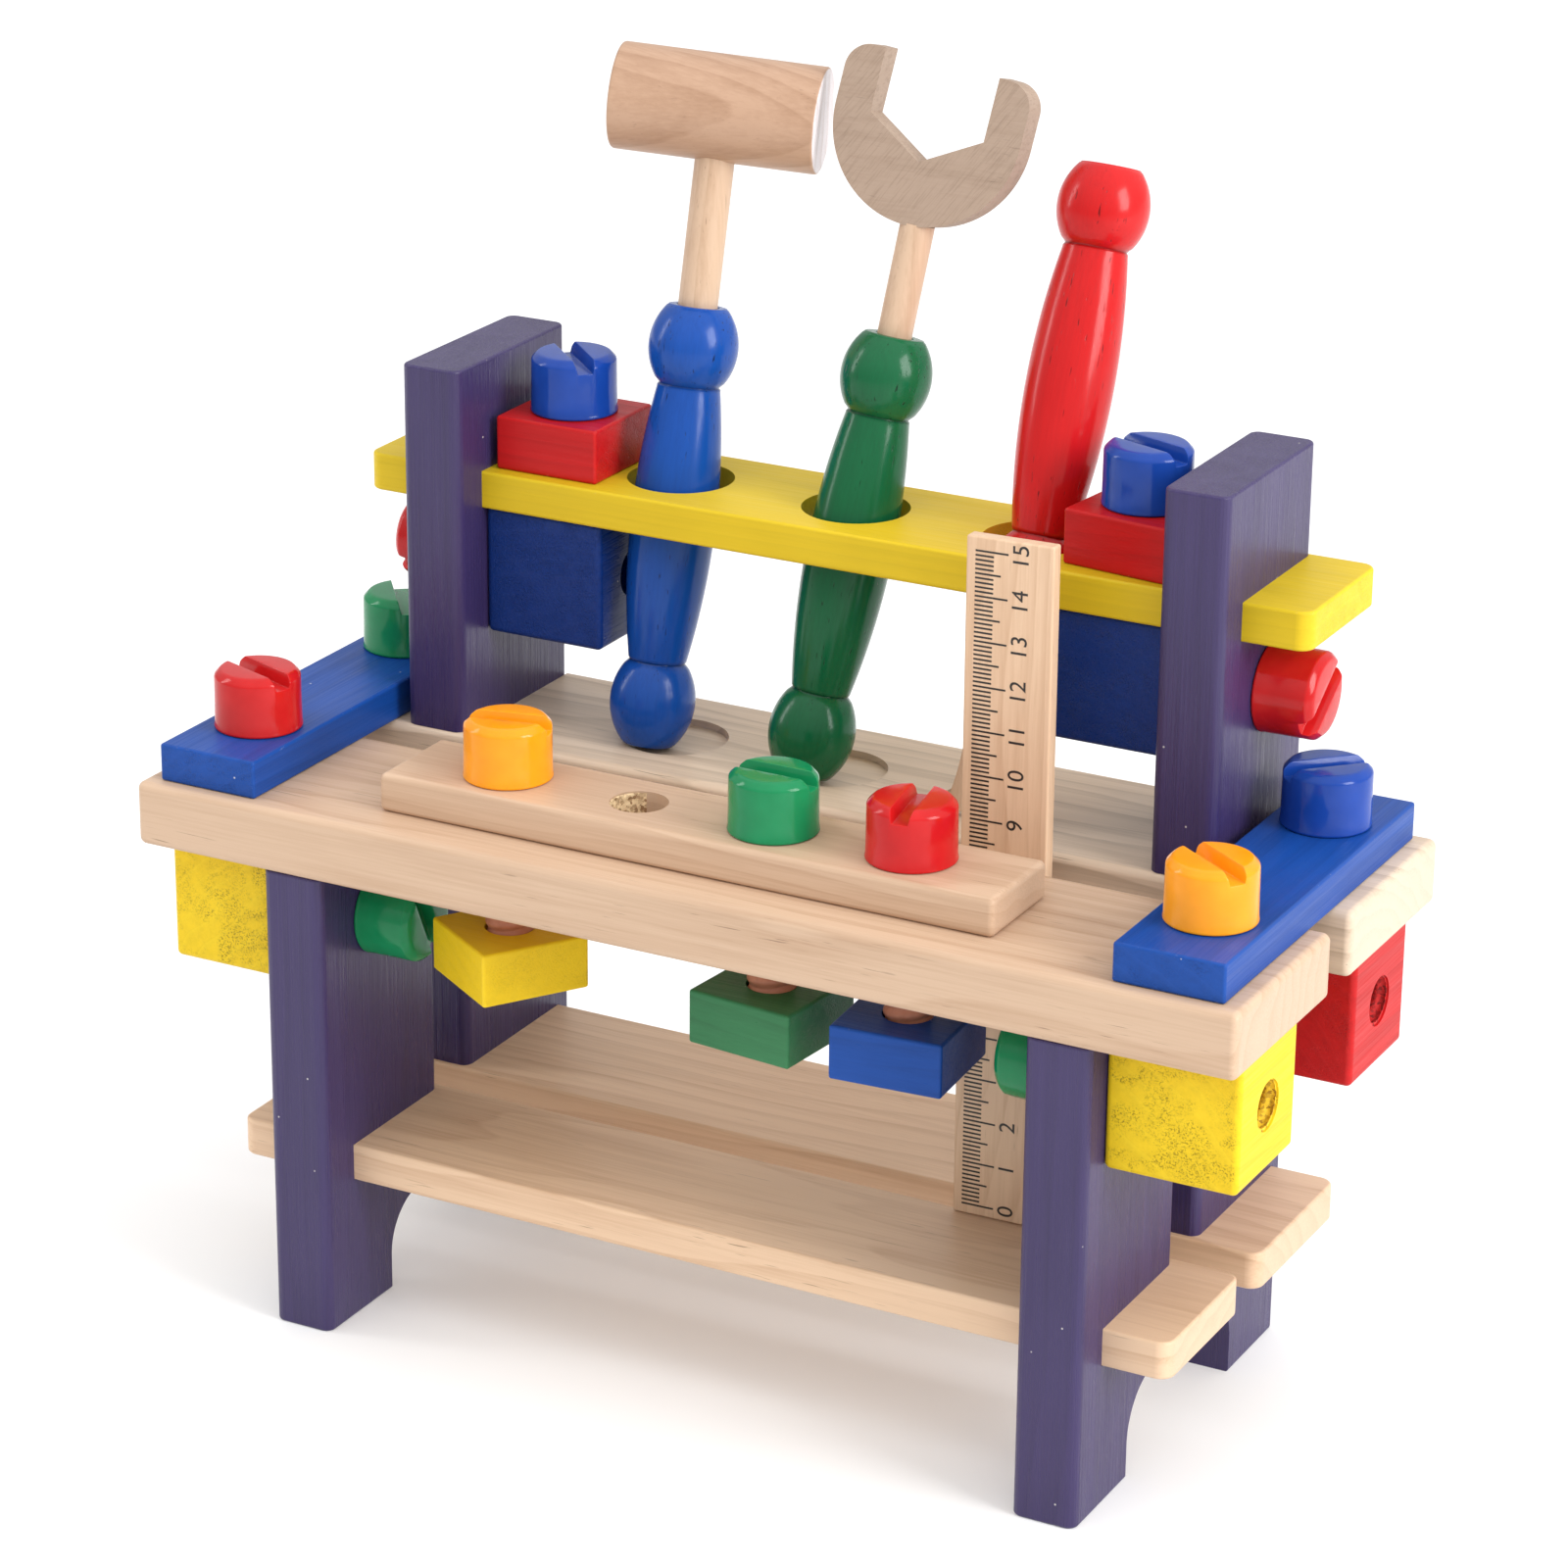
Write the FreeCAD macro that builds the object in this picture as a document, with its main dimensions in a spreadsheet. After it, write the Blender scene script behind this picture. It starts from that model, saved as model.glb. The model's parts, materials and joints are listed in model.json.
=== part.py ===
import FreeCAD, Part
import math
import os
import re

# Toy tool bench: two table planks on two front legs and two tall rear boards,
# two shelf planks, a rack bar with three tools, and plastic bolts with wooden
# nuts and blocks. Millimetres, +Z up, floor at z = 0, front of the bench at -Y.

doc = FreeCAD.newDocument("ToolBench")
sheet = doc.addObject("Spreadsheet::Sheet", "Sizes")

SIZES = [
    # the bench's outline
    ("gap_middle", -7.20, "y of the middle of the gap between the table planks"),
    ("table_length", 267.0, "table planks, end to end"),
    ("table_underside", 111.5, "height of the underside of the table"),
    ("table_gap", 11.0, "gap between the two table planks"),
    ("plank_width", 50.0, "table planks, front to back"),
    ("board_thickness", 15.0, "stock of the planks, legs and tall boards"),
    ("board_width", 48.0, "legs and tall boards, front to back"),
    ("board_outside", 101.0, "x of the outer face of legs and tall boards"),
    ("board_gap", 13.0, "gap between a front leg and the tall board behind it"),
    ("tall_height", 212.5, "top of the tall boards"),
    # the thin slats
    ("slat_thickness", 8.8, "stock of shelves, rack bar and strips"),
    ("slat_width", 38.0, "shelf planks and rack bar, front to back"),
    ("rear_shelf_width", 44.0, "rear shelf plank, front to back"),
    ("slat_length", 233.0, "shelf planks and rack bar, end to end"),
    ("slat_corner", 3.4, "radius of the slats' corners"),
    ("slat_proud", 1.5, "how far a shelf stands out of its board's slot"),
    ("shelf_underside", 34.0, "height of the underside of the shelves"),
    ("rack_underside", 178.0, "height of the underside of the rack bar"),
    ("strip_width", 25.0, "width of the blue end strips"),
    ("strip_length", 104.0, "length of the blue end strips"),
    ("hole_strip_width", 26.0, "width of the strip with four holes"),
    ("hole_strip_length", 150.0, "length of the strip with four holes"),
    ("hole_strip_middle", -1.5, "x of the middle of the strip with four holes"),
    ("hole_spacing", 33.0, "distance between holes in that strip"),
    # arches under the feet
    ("arch_depth", 21.5, "how far an arch reaches in from the board's edge"),
    ("arch_height", 21.5, "height of the arches under the boards"),
    ("arch_radius", 13.0, "radius of the arch's inner corner"),
    # bolts, nuts and blocks
    ("bolt_line", 31.0, "distance of the table bolts from the gap's middle"),
    ("end_bolt", 116.5, "x of the bolts through the end strips"),
    ("rack_line", 35.0, "distance of the tool holes behind the gap's middle"),
    ("rack_bolt_line", 33.0, "distance of the rack's bolts behind the gap's middle"),
    ("rack_bolt", 71.2, "x of the bolts through the rack bar"),
    ("head_radius", 10.0, "bolt head"),
    ("head_height", 13.8, "bolt head"),
    ("head_bevel", 1.3, "bevel round the top of a bolt head"),
    ("driver_slot", 4.4, "width of the screwdriver slot"),
    ("driver_slot_depth", 3.0, "depth of the screwdriver slot"),
    ("shank_radius", 5.5, "bolt shank"),
    ("long_shank", 45.0, "shank of the bolts through the table and rack"),
    ("short_shank", 22.0, "shank of the bolts through the legs and boards"),
    ("thread_pitch", 3.0, "spacing of the rings round the end of a shank"),
    ("thread_depth", 0.7, "height of those rings above the core"),
    ("thread_hole", 5.7, "radius of the holes in nuts and blocks"),
    ("clear_hole", 6.5, "radius of the holes in planks and strips"),
    ("seat_gap", 0.1, "play between a bolt head and what it rests on"),
    ("nut_width", 26.0, "square nuts, across the flats"),
    ("nut_thickness", 12.5, "square nuts"),
    ("nut_drop", 12.0, "gap between the table and the nuts below it"),
    ("block_size", 30.0, "edge of the cube blocks"),
    # tool rack holes, and the shallow rests in the rear plank below them
    ("tool_spacing", 44.5, "distance between the tool holes"),
    ("tool_hole", 12.25, "radius of the tool holes and rests"),
    ("rest_depth", 1.7, "depth of the round rests in the rear plank"),
    ("rest_line", 29.0, "distance of the rests behind the gap's middle"),
    ("rest_shift", -1.5, "x of the middle rest"),
    ("rest_spacing", 41.0, "distance between the rests"),
    # tools
    ("handle_length", 101.0, "turned handles, without the shaft"),
    ("handle_bore", 20.0, "depth of the shaft's hole in a handle"),
    ("hammer_shaft_radius", 4.5, "hammer's dowel"),
    ("hammer_shaft_free", 33.2, "dowel showing between handle and head"),
    ("hammer_socket", 17.0, "depth of the dowel in the hammer's head"),
    ("hammer_head_radius", 12.0, "hammer's head"),
    ("hammer_head_length", 47.0, "hammer's head"),
    ("wrench_shaft_radius", 3.9, "wrench's dowel"),
    ("wrench_shaft_free", 24.3, "dowel showing between handle and jaw"),
    ("wrench_radius", 22.2, "round back of the wrench's jaw"),
    ("wrench_thickness", 7.4, "wrench's jaw"),
    ("wrench_mouth", 27.4, "opening of the wrench's jaw"),
    ("wrench_mouth_rise", 7.6, "the mouth's middle above the jaw's"),
    ("wrench_tilt", 2.3, "turn of the jaw on its dowel, to the right, in degrees"),
    ("wrench_reach", 14.0, "jaw tips above the middle of the jaw"),
    ("wrench_tip", 6.0, "rounding of the outer corners of the jaw's tips"),
    ("wrench_offset", -1.2, "the jaw's middle, beside its dowel's line"),
    ("blade_length", 43.5, "screwdriver's blade below its handle"),
    ("blade_width", 15.0, "screwdriver's blade at its neck"),
    ("blade_tip_width", 19.0, "screwdriver's blade at its tip"),
    ("blade_thickness", 8.0, "screwdriver's blade at its neck"),
    ("blade_tip_thickness", 3.0, "screwdriver's blade at its tip"),
    ("blade_flare", 60.0, "radius of the curve that widens the blade to its tip"),
    ("blade_taper", 24.0, "height over which the blade thins to its tip"),
    # ruler
    ("ruler_length", 155.5, "ruler"),
    ("ruler_width", 20.5, "ruler"),
    ("ruler_thickness", 3.5, "ruler"),
    ("ruler_left", 48.2, "x of the ruler's left edge"),
    ("ruler_front", 7.45, "the ruler's foot, in front of the gap's middle"),
    ("ruler_lean", 0.03, "the ruler's lean back, mm per mm"),
    ("ruler_side_lean", -0.017, "the ruler's lean to the right, mm per mm"),
    ("ruler_edge", 0.5, "rounding of the ruler's edges"),
    # softened edges
    ("soft_edge", 0.7, "rounding of the edges of slats, nuts and end strips"),
    ("strip_edge", 1.4, "rounding of the edges of the strip with four holes"),
    ("block_edge", 1.4, "rounding of the blocks' edges"),
    ("plank_edge", 1.8, "rounding of the table planks' edges"),
    ("board_edge", 2.4, "rounding of the legs' and tall boards' upright edges"),
]

# Where each tool stands: its foot's x, how far its foot is behind the gap's
# middle, its lean to the right and to the back in mm per mm, and its turn.
HAMMER = {"x": -46.2, "behind": 22.4, "right": 0.018, "back": 0.203, "turn": 17.0}
WRENCH = {"x": -5.1, "behind": 20.6, "right": 0.093, "back": 0.247, "turn": 4.0}
SCREWDRIVER = {"x": 43.1, "behind": 16.3, "right": 0.030, "back": 0.333, "turn": 0.0}


def fill_sheet():
    for row, (alias, number, note) in enumerate(SIZES, start=1):
        sheet.set(f"A{row}", alias)
        sheet.set(f"B{row}", str(number))
        sheet.set(f"C{row}", note)
        sheet.setAlias(f"B{row}", alias)
    doc.recompute()


def size(alias):
    """The number a cell holds."""
    return float(sheet.get(alias))


ALIASES = {row[0] for row in SIZES}


def bound(text):
    """Turns sheet names in a formula into references to their cells."""
    def reference(match):
        word = match.group(0)
        return "Sizes." + word if word in ALIASES else word
    return re.sub(r"[a-z_]+", reference, str(text))


def bind(item, **formulas):
    for name, formula in formulas.items():
        item.setExpression(name, bound(formula))


def put(item, place):
    """Binds an item's position to three formulas."""
    for axis, formula in zip("xyz", place):
        item.setExpression("Placement.Base." + axis, bound(formula))


def box(name, sizes, corner):
    item = doc.addObject("Part::Box", name)
    bind(item, Length=sizes[0], Width=sizes[1], Height=sizes[2])
    put(item, corner)
    return item


def cylinder(name, radius, height, base, along=(0, 0, 1)):
    item = doc.addObject("Part::Cylinder", name)
    bind(item, Radius=radius, Height=height)
    turn = FreeCAD.Rotation(FreeCAD.Vector(0, 0, 1), FreeCAD.Vector(*along))
    item.Placement = FreeCAD.Placement(FreeCAD.Vector(), turn)
    put(item, base)
    return item


def join(name, items):
    whole = doc.addObject("Part::MultiFuse", name)
    whole.Shapes = items
    return whole


def cut(name, base, tools):
    """Takes the tools away from the base, and checks that they really cut."""
    tool = tools[0] if len(tools) == 1 else join(name + "_tools", tools)
    result = doc.addObject("Part::Cut", name)
    result.Base = base
    result.Tool = tool
    doc.recompute()
    if result.Shape.Volume > base.Shape.Volume - 1.0:
        raise RuntimeError(name + ": the cut took nothing away")
    return result


def rounded(name, base, radius, chosen=lambda edge: True):
    """Rounds the base's edges that the test chooses."""
    doc.recompute()
    edges = enumerate(base.Shape.Edges, start=1)
    numbers = [number for number, edge in edges if chosen(edge)]
    result = doc.addObject("Part::Fillet", name)
    result.Base = base
    result.Edges = [(number, radius, radius) for number in numbers]
    doc.recompute()
    return result


def upright_edge(edge):
    start, end = edge.Vertexes[0].Point, edge.Vertexes[-1].Point
    return abs(start.z - end.z) > 0.5 * edge.Length


def level_edge(edge):
    return edge.BoundBox.ZLength < 0.01


def soft_box(name, sizes, corner, edge="soft_edge"):
    return rounded(name, box(name + "_box", sizes, corner), size(edge))


def cornered_box(name, sizes, corner, upright):
    """A box with larger rounding on its four upright edges than on its faces' rims."""
    plain = box(name + "_box", sizes, corner)
    cornered = rounded(name + "_corners", plain, size(upright), upright_edge)
    return rounded(name, cornered, size("soft_edge"), level_edge)


def finish(item, label):
    item.Label = label
    return item


# Heights and lines that several pieces share.
TABLE_TOP = "(table_underside + board_thickness)"
STRIP_TOP = "(table_underside + board_thickness + slat_thickness)"
RACK_TOP = "(rack_underside + slat_thickness)"
BOARD_INSIDE = "(board_outside - board_thickness)"
FRONT_LINE = "(gap_middle - bolt_line)"
REAR_LINE = "(gap_middle + bolt_line)"
RACK_LINE = "(gap_middle + rack_line)"
RACK_BOLT_LINE = "(gap_middle + rack_bolt_line)"
BLOCK_MIDDLE = "(table_underside - block_size / 2)"
RACK_BLOCK_MIDDLE = "(rack_underside - block_size / 2)"
SIDES = (("left", -1), ("right", 1))


def left_corner(side, inside, outside):
    """The lower x of something that spans from inside to outside on one side."""
    return inside if side > 0 else f"-{outside}"


def strip_hole_x(number):
    """x of hole 0 to 3 in the strip with four holes."""
    return f"hole_strip_middle + ({number} - 1.5) * hole_spacing"


def drill_down(name, x, y, radius="clear_hole"):
    """A drill that runs down through the table and the strips on it."""
    return cylinder(name, radius, "60", (x, y, "table_underside - 15"))


def front_table_plank():
    sizes = ("table_length", "plank_width", "board_thickness")
    corner = ("-table_length / 2", "gap_middle - table_gap / 2 - plank_width", "table_underside")
    drills = [drill_down("front_strip_drill", strip_hole_x(n), FRONT_LINE) for n in range(4)]
    drills += [drill_down("front_end_drill", f"{side} * end_bolt", FRONT_LINE) for _, side in SIDES]
    plank = soft_box("front_plank", sizes, corner, "plank_edge")
    return finish(cut("front_plank_drilled", plank, drills), "front_table_plank")


def rear_table_plank():
    """Notched from behind for the tall boards, with three rests for the tools."""
    sizes = ("table_length", "plank_width", "board_thickness")
    front = "gap_middle + table_gap / 2"
    corner = ("-table_length / 2", front, "table_underside")
    plank = soft_box("rear_plank", sizes, corner, "plank_edge")
    tools = []
    for name, side in SIDES:
        tools.append(drill_down("rear_end_drill", f"{side} * end_bolt", REAR_LINE))
        notch_x = left_corner(side, BOARD_INSIDE, "board_outside")
        notch = (notch_x, f"{front} + plank_width / 2", "table_underside - 1")
        notch_size = ("board_thickness", "plank_width", "board_thickness + 2")
        tools.append(box(name + "_board_notch", notch_size, notch))
    for place in (-1, 0, 1):
        rest = (f"{place} * rest_spacing + rest_shift", "gap_middle + rest_line",
                f"{TABLE_TOP} - rest_depth")
        tools.append(cylinder("tool_rest", "tool_hole", "10", rest))
    return finish(cut("rear_plank_cut", plank, tools), "rear_table_plank")


def foot_arch(name, x, edge_y, side):
    """The arch cut in from a board's edge; side is -1 when it opens to the front."""
    start = f"{edge_y} - 5" if side < 0 else f"{edge_y} - arch_depth"
    block = box(name + "_block", ("board_thickness + 2", "arch_depth + 5", "arch_height + 5"),
                (f"{x} - 1", start, "-5"))

    def inner_top_edge(edge):
        middle = edge.BoundBox.Center
        from_gap = abs(middle.y - size("gap_middle"))
        at_inner_end = from_gap > size("board_gap") / 2 + size("arch_depth") - 0.01
        return edge.BoundBox.XLength > 1 and middle.z > 1 and at_inner_end
    return rounded(name, block, size("arch_radius"), inner_top_edge)


def front_leg(name, side):
    """Runs from the floor to the table, with a slot behind for the shelf."""
    x = left_corner(side, BOARD_INSIDE, "board_outside")
    back = "gap_middle - board_gap / 2"
    leg = cornered_box(name + "_leg", ("board_thickness", "board_width", "table_underside"),
                       (x, f"{back} - board_width", "0"), "board_edge")
    slot_depth = "slat_width - slat_proud"
    slot = box(name + "_shelf_slot", ("board_thickness + 2", f"{slot_depth} + 5", "slat_thickness"),
               (f"{x} - 1", f"{back} - ({slot_depth})", "shelf_underside"))
    drill = cylinder(name + "_leg_drill", "clear_hole", "board_thickness + 2",
                     (f"{x} - 1", FRONT_LINE, BLOCK_MIDDLE), (1, 0, 0))
    tools = [foot_arch(name + "_leg_arch", x, back, 1), slot, drill]
    return finish(cut(name + "_leg_cut", leg, tools), name + "_front_leg")


def tall_board(name, side):
    """Runs from the floor past the table to above the rack bar."""
    x = left_corner(side, BOARD_INSIDE, "board_outside")
    front = "gap_middle + board_gap / 2"
    through = "board_thickness + 2"
    board = cornered_box(name + "_board", ("board_thickness", "board_width", "tall_height"),
                         (x, front, "0"), "board_edge")
    slot_depth = "rear_shelf_width - slat_proud"
    shelf_slot = box(name + "_board_shelf_slot", (through, f"{slot_depth} + 5", "slat_thickness"),
                     (f"{x} - 1", f"{front} - 5", "shelf_underside"))
    lap = "gap_middle + table_gap / 2 + plank_width / 2"
    table_slot = box(name + "_board_table_slot", (through, "plank_width / 2 + 5", "board_thickness"),
                     (f"{x} - 1", f"{lap} - plank_width / 2 - 5", "table_underside"))
    rack_slot = box(name + "_board_rack_slot", (through, "slat_width + 5", "slat_thickness"),
                    (f"{x} - 1", f"{front} + board_width - slat_width", "rack_underside"))
    block_drill = cylinder(name + "_board_drill", "clear_hole", through,
                           (f"{x} - 1", REAR_LINE, BLOCK_MIDDLE), (1, 0, 0))
    rack_drill = cylinder(name + "_board_rack_drill", "clear_hole", through,
                          (f"{x} - 1", RACK_BOLT_LINE, RACK_BLOCK_MIDDLE), (1, 0, 0))
    arch = foot_arch(name + "_board_arch", x, front, -1)
    tools = [arch, shelf_slot, table_slot, rack_slot, block_drill, rack_drill]
    return finish(cut(name + "_board_cut", board, tools), name + "_tall_board")


def shelves():
    edge = "board_gap / 2 - slat_proud"
    front = ("-slat_length / 2", f"gap_middle - ({edge}) - slat_width", "shelf_underside")
    front_slat = cornered_box("front_shelf_slat", ("slat_length", "slat_width", "slat_thickness"),
                              front, "slat_corner")
    rear = ("-slat_length / 2", f"gap_middle + {edge}", "shelf_underside")
    rear_slat = cornered_box("rear_shelf_slat", ("slat_length", "rear_shelf_width", "slat_thickness"),
                             rear, "slat_corner")
    return [finish(front_slat, "front_shelf"), finish(rear_slat, "rear_shelf")]


def rack_bar():
    sizes = ("slat_length", "slat_width", "slat_thickness")
    front = "gap_middle + board_gap / 2 + board_width - slat_width"
    slat = cornered_box("rack_slat", sizes, ("-slat_length / 2", front, "rack_underside"),
                        "slat_corner")
    low = "rack_underside - 1"
    through = "slat_thickness + 2"
    drills = [cylinder("tool_drill", "tool_hole", through, (f"{n} * tool_spacing", RACK_LINE, low))
              for n in (-1, 0, 1)]
    drills += [cylinder("rack_drill", "clear_hole", through,
                        (f"{side} * rack_bolt", RACK_BOLT_LINE, low)) for _, side in SIDES]
    return finish(cut("rack_slat_drilled", slat, drills), "rack_bar")


def end_strip(name, side):
    corner = (f"{side} * end_bolt - strip_width / 2", "gap_middle - strip_length / 2", TABLE_TOP)
    strip = soft_box(name + "_strip", ("strip_width", "strip_length", "slat_thickness"), corner)
    drills = [drill_down(name + "_strip_drill", f"{side} * end_bolt", line)
              for line in (FRONT_LINE, REAR_LINE)]
    return finish(cut(name + "_strip_drilled", strip, drills), name + "_end_strip")


def hole_strip():
    corner = ("hole_strip_middle - hole_strip_length / 2",
              f"{FRONT_LINE} - hole_strip_width / 2", TABLE_TOP)
    strip = soft_box("four_hole_strip", ("hole_strip_length", "hole_strip_width", "slat_thickness"),
                     corner, "strip_edge")
    drills = [drill_down("four_hole_drill", strip_hole_x(n), FRONT_LINE) for n in range(4)]
    return finish(cut("four_hole_strip_drilled", strip, drills), "hole_strip")


def cube_block(label, middle, bolt_end, bolt_x):
    """A cube with a threaded hole from side to side and one down from the top.

    The hole from the top ends just below bolt_end, where its bolt ends.
    """
    half = "block_size / 2"
    corner = tuple(f"{place} - {half}" for place in middle)
    cube = soft_box(label + "_cube", ("block_size",) * 3, corner, "block_edge")
    x, y, z = middle
    side_drill = cylinder(label + "_side_drill", "thread_hole", "block_size + 2",
                          (f"{x} - {half} - 1", y, z), (1, 0, 0))
    through = cut(label + "_drilled", cube, [side_drill])
    down_drill = cylinder(label + "_down_drill", "thread_hole", "block_size",
                          (bolt_x, y, f"{bolt_end} - 1"))
    return finish(cut(label + "_cut", through, [down_drill]), label)


def square_nut(label, place, turn=0.0):
    """A square nut; place is the middle of its underside."""
    plate = soft_box(label + "_plate", ("nut_width", "nut_width", "nut_thickness"),
                     ("-nut_width / 2", "-nut_width / 2", "0"))
    drill = cylinder(label + "_drill", "thread_hole", "nut_thickness + 2", ("0", "0", "-1"))
    nut = cut(label + "_cut", plate, [drill])
    nut.Placement = FreeCAD.Placement(FreeCAD.Vector(),
                                      FreeCAD.Rotation(FreeCAD.Vector(0, 0, 1), turn))
    put(nut, place)
    return finish(nut, label)


def bolt(label, seat, towards, shank, slot_turn):
    """A slotted bolt; seat is the middle of the face its head rests on.

    Raised rings round a thinner core stand for the thread at its end.
    """
    core = cylinder(label + "_core", "shank_radius - thread_depth", shank, ("0", "0", f"-{shank}"))
    shaft = cylinder(label + "_shaft", "shank_radius", f"{shank} - 3 * thread_pitch + 1",
                     ("0", "0", f"3 * thread_pitch - {shank}"))
    rings = [cylinder(label + "_ring", "shank_radius", "thread_pitch / 2",
                      ("0", "0", f"({number} + 0.25) * thread_pitch - {shank}"))
             for number in range(3)]
    drum = cylinder(label + "_drum", "head_radius", "head_height", ("0", "0", "0"))
    head = doc.addObject("Part::Chamfer", label + "_head")
    head.Base = drum
    doc.recompute()
    top = [number for number, edge in enumerate(drum.Shape.Edges, start=1)
           if level_edge(edge) and edge.BoundBox.ZMin > 1]
    bevel = size("head_bevel")
    head.Edges = [(number, bevel, bevel) for number in top]
    slot = box(label + "_slot", ("head_radius * 3", "driver_slot", "driver_slot_depth + 1"),
               ("-head_radius * 1.5", "-driver_slot / 2", "head_height - driver_slot_depth"))
    solid = join(label + "_solid", [core, shaft, head] + rings)
    whole = cut(label + "_cut", solid, [slot])
    aim = FreeCAD.Rotation(FreeCAD.Vector(0, 0, 1), FreeCAD.Vector(*towards))
    spin = FreeCAD.Rotation(FreeCAD.Vector(0, 0, 1), slot_turn)
    whole.Placement = FreeCAD.Placement(FreeCAD.Vector(), aim.multiply(spin))
    gap = [f"{formula} + {step} * seat_gap" for formula, step in zip(seat, towards)]
    put(whole, gap)
    return finish(whole, label)


def blocks_and_nuts():
    pieces = []
    table_bolt_end = f"{STRIP_TOP} - long_shank"
    rack_bolt_end = f"{RACK_TOP} + nut_thickness - long_shank"
    for name, side in SIDES:
        outer_x = f"{side} * (board_outside + block_size / 2)"
        inner_x = f"{side} * ({BOARD_INSIDE} - block_size / 2)"
        end_bolt_x = f"{side} * end_bolt"
        rack_bolt_x = f"{side} * rack_bolt"
        for end, line in (("front", FRONT_LINE), ("rear", REAR_LINE)):
            middle = (outer_x, line, BLOCK_MIDDLE)
            pieces.append(cube_block(f"{name}_{end}_block", middle, table_bolt_end, end_bolt_x))
        middle = (inner_x, RACK_BOLT_LINE, RACK_BLOCK_MIDDLE)
        pieces.append(cube_block(name + "_rack_block", middle, rack_bolt_end, rack_bolt_x))
        turn = {"left": 0.0, "right": -7.0}[name]
        pieces.append(square_nut(name + "_rack_nut", (rack_bolt_x, RACK_BOLT_LINE, RACK_TOP), turn))
    below = "table_underside - nut_drop - nut_thickness"
    for label, hole, turn in (("yellow_nut", 0, -33.0), ("green_nut", 2, -6.0), ("blue_nut", 3, 4.0)):
        pieces.append(square_nut(label, (strip_hole_x(hole), FRONT_LINE, below), turn))
    return pieces


def table_bolts():
    """The bolts through the end strips, and those through the strip with four holes."""
    slot_turns = {"left_front": -20.0, "left_rear": -52.0, "right_front": -35.0, "right_rear": 46.0}
    pieces = []
    for name, side in SIDES:
        for end, line in (("front", FRONT_LINE), ("rear", REAR_LINE)):
            seat = (f"{side} * end_bolt", line, STRIP_TOP)
            turn = slot_turns[f"{name}_{end}"]
            pieces.append(bolt(f"{name}_{end}_table_bolt", seat, (0, 0, 1), "long_shank", turn))
    for label, hole, turn in (("orange_strip_bolt", 0, 13.0), ("green_strip_bolt", 2, 0.0),
                              ("red_strip_bolt", 3, 100.0)):
        seat = (strip_hole_x(hole), FRONT_LINE, STRIP_TOP)
        pieces.append(bolt(label, seat, (0, 0, 1), "long_shank", turn))
    return pieces


def board_bolts():
    """The bolts through the rack, and the short ones through the legs and boards."""
    rack_turns = {"left": -44.0, "right": -19.0}
    upright_turns = {"left": 60.0, "right": 124.0}
    pieces = []
    for name, side in SIDES:
        seat = (f"{side} * rack_bolt", RACK_BOLT_LINE, f"{RACK_TOP} + nut_thickness")
        pieces.append(bolt(name + "_rack_bolt", seat, (0, 0, 1), "long_shank", rack_turns[name]))
        seat = (f"{side} * board_outside", RACK_BOLT_LINE, RACK_BLOCK_MIDDLE)
        pieces.append(bolt(name + "_upright_bolt", seat, (side, 0, 0), "short_shank",
                           upright_turns[name]))
        for end, line in (("front", FRONT_LINE), ("rear", REAR_LINE)):
            seat = (f"{side} * {BOARD_INSIDE}", line, BLOCK_MIDDLE)
            pieces.append(bolt(f"{name}_{end}_leg_bolt", seat, (-side, 0, 0), "short_shank", 25.0))
    return pieces


def tool_placement(stance, floor, half_width, half_depth):
    """Stands a tool's tilted foot on the floor, leaning and turned as its stance says."""
    along = FreeCAD.Vector(stance["right"], stance["back"], 1.0)
    lift = half_width * abs(stance["right"]) + half_depth * abs(stance["back"])
    foot = FreeCAD.Vector(stance["x"], size("gap_middle") + stance["behind"],
                          floor + lift + size("seat_gap"))
    lean = FreeCAD.Rotation(FreeCAD.Vector(0, 0, 1), along)
    turn = FreeCAD.Rotation(FreeCAD.Vector(0, 0, 1), stance["turn"])
    return FreeCAD.Placement(foot, lean.multiply(turn))


# A turned handle's outline: radius at its foot, waists and top, and its bulges.
FOOT_RADIUS = 5.8
KNOB_RADIUS = 9.8
TOP_KNOB_RADIUS = 10.2
LOWER_WAIST = (6.6, 19.5)
GRIP_RADIUS = 9.7
UPPER_WAIST = (7.1, 83.0)
TOP_RADIUS = 6.6


def turned_handle():
    """Outline of arcs turned about Z: two knobs with a long swelling grip between."""
    length = size("handle_length")
    low_waist = FreeCAD.Vector(LOWER_WAIST[0], 0, LOWER_WAIST[1])
    high_waist = FreeCAD.Vector(UPPER_WAIST[0], 0, UPPER_WAIST[1])
    foot = FreeCAD.Vector(FOOT_RADIUS, 0, 0)
    top = FreeCAD.Vector(TOP_RADIUS, 0, length)
    low_knob = FreeCAD.Vector(KNOB_RADIUS, 0, LOWER_WAIST[1] * 0.5)
    grip = FreeCAD.Vector(GRIP_RADIUS, 0, (LOWER_WAIST[1] + UPPER_WAIST[1]) / 2)
    high_knob = FreeCAD.Vector(TOP_KNOB_RADIUS, 0, (UPPER_WAIST[1] + length) / 2)
    edges = [
        Part.LineSegment(FreeCAD.Vector(0, 0, 0), foot).toShape(),
        Part.Arc(foot, low_knob, low_waist).toShape(),
        Part.Arc(low_waist, grip, high_waist).toShape(),
        Part.Arc(high_waist, high_knob, top).toShape(),
        Part.LineSegment(top, FreeCAD.Vector(0, 0, length)).toShape(),
        Part.LineSegment(FreeCAD.Vector(0, 0, length), FreeCAD.Vector(0, 0, 0)).toShape(),
    ]
    outline = Part.Face(Part.Wire(edges))
    return outline.revolve(FreeCAD.Vector(), FreeCAD.Vector(0, 0, 1), 360)


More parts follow.
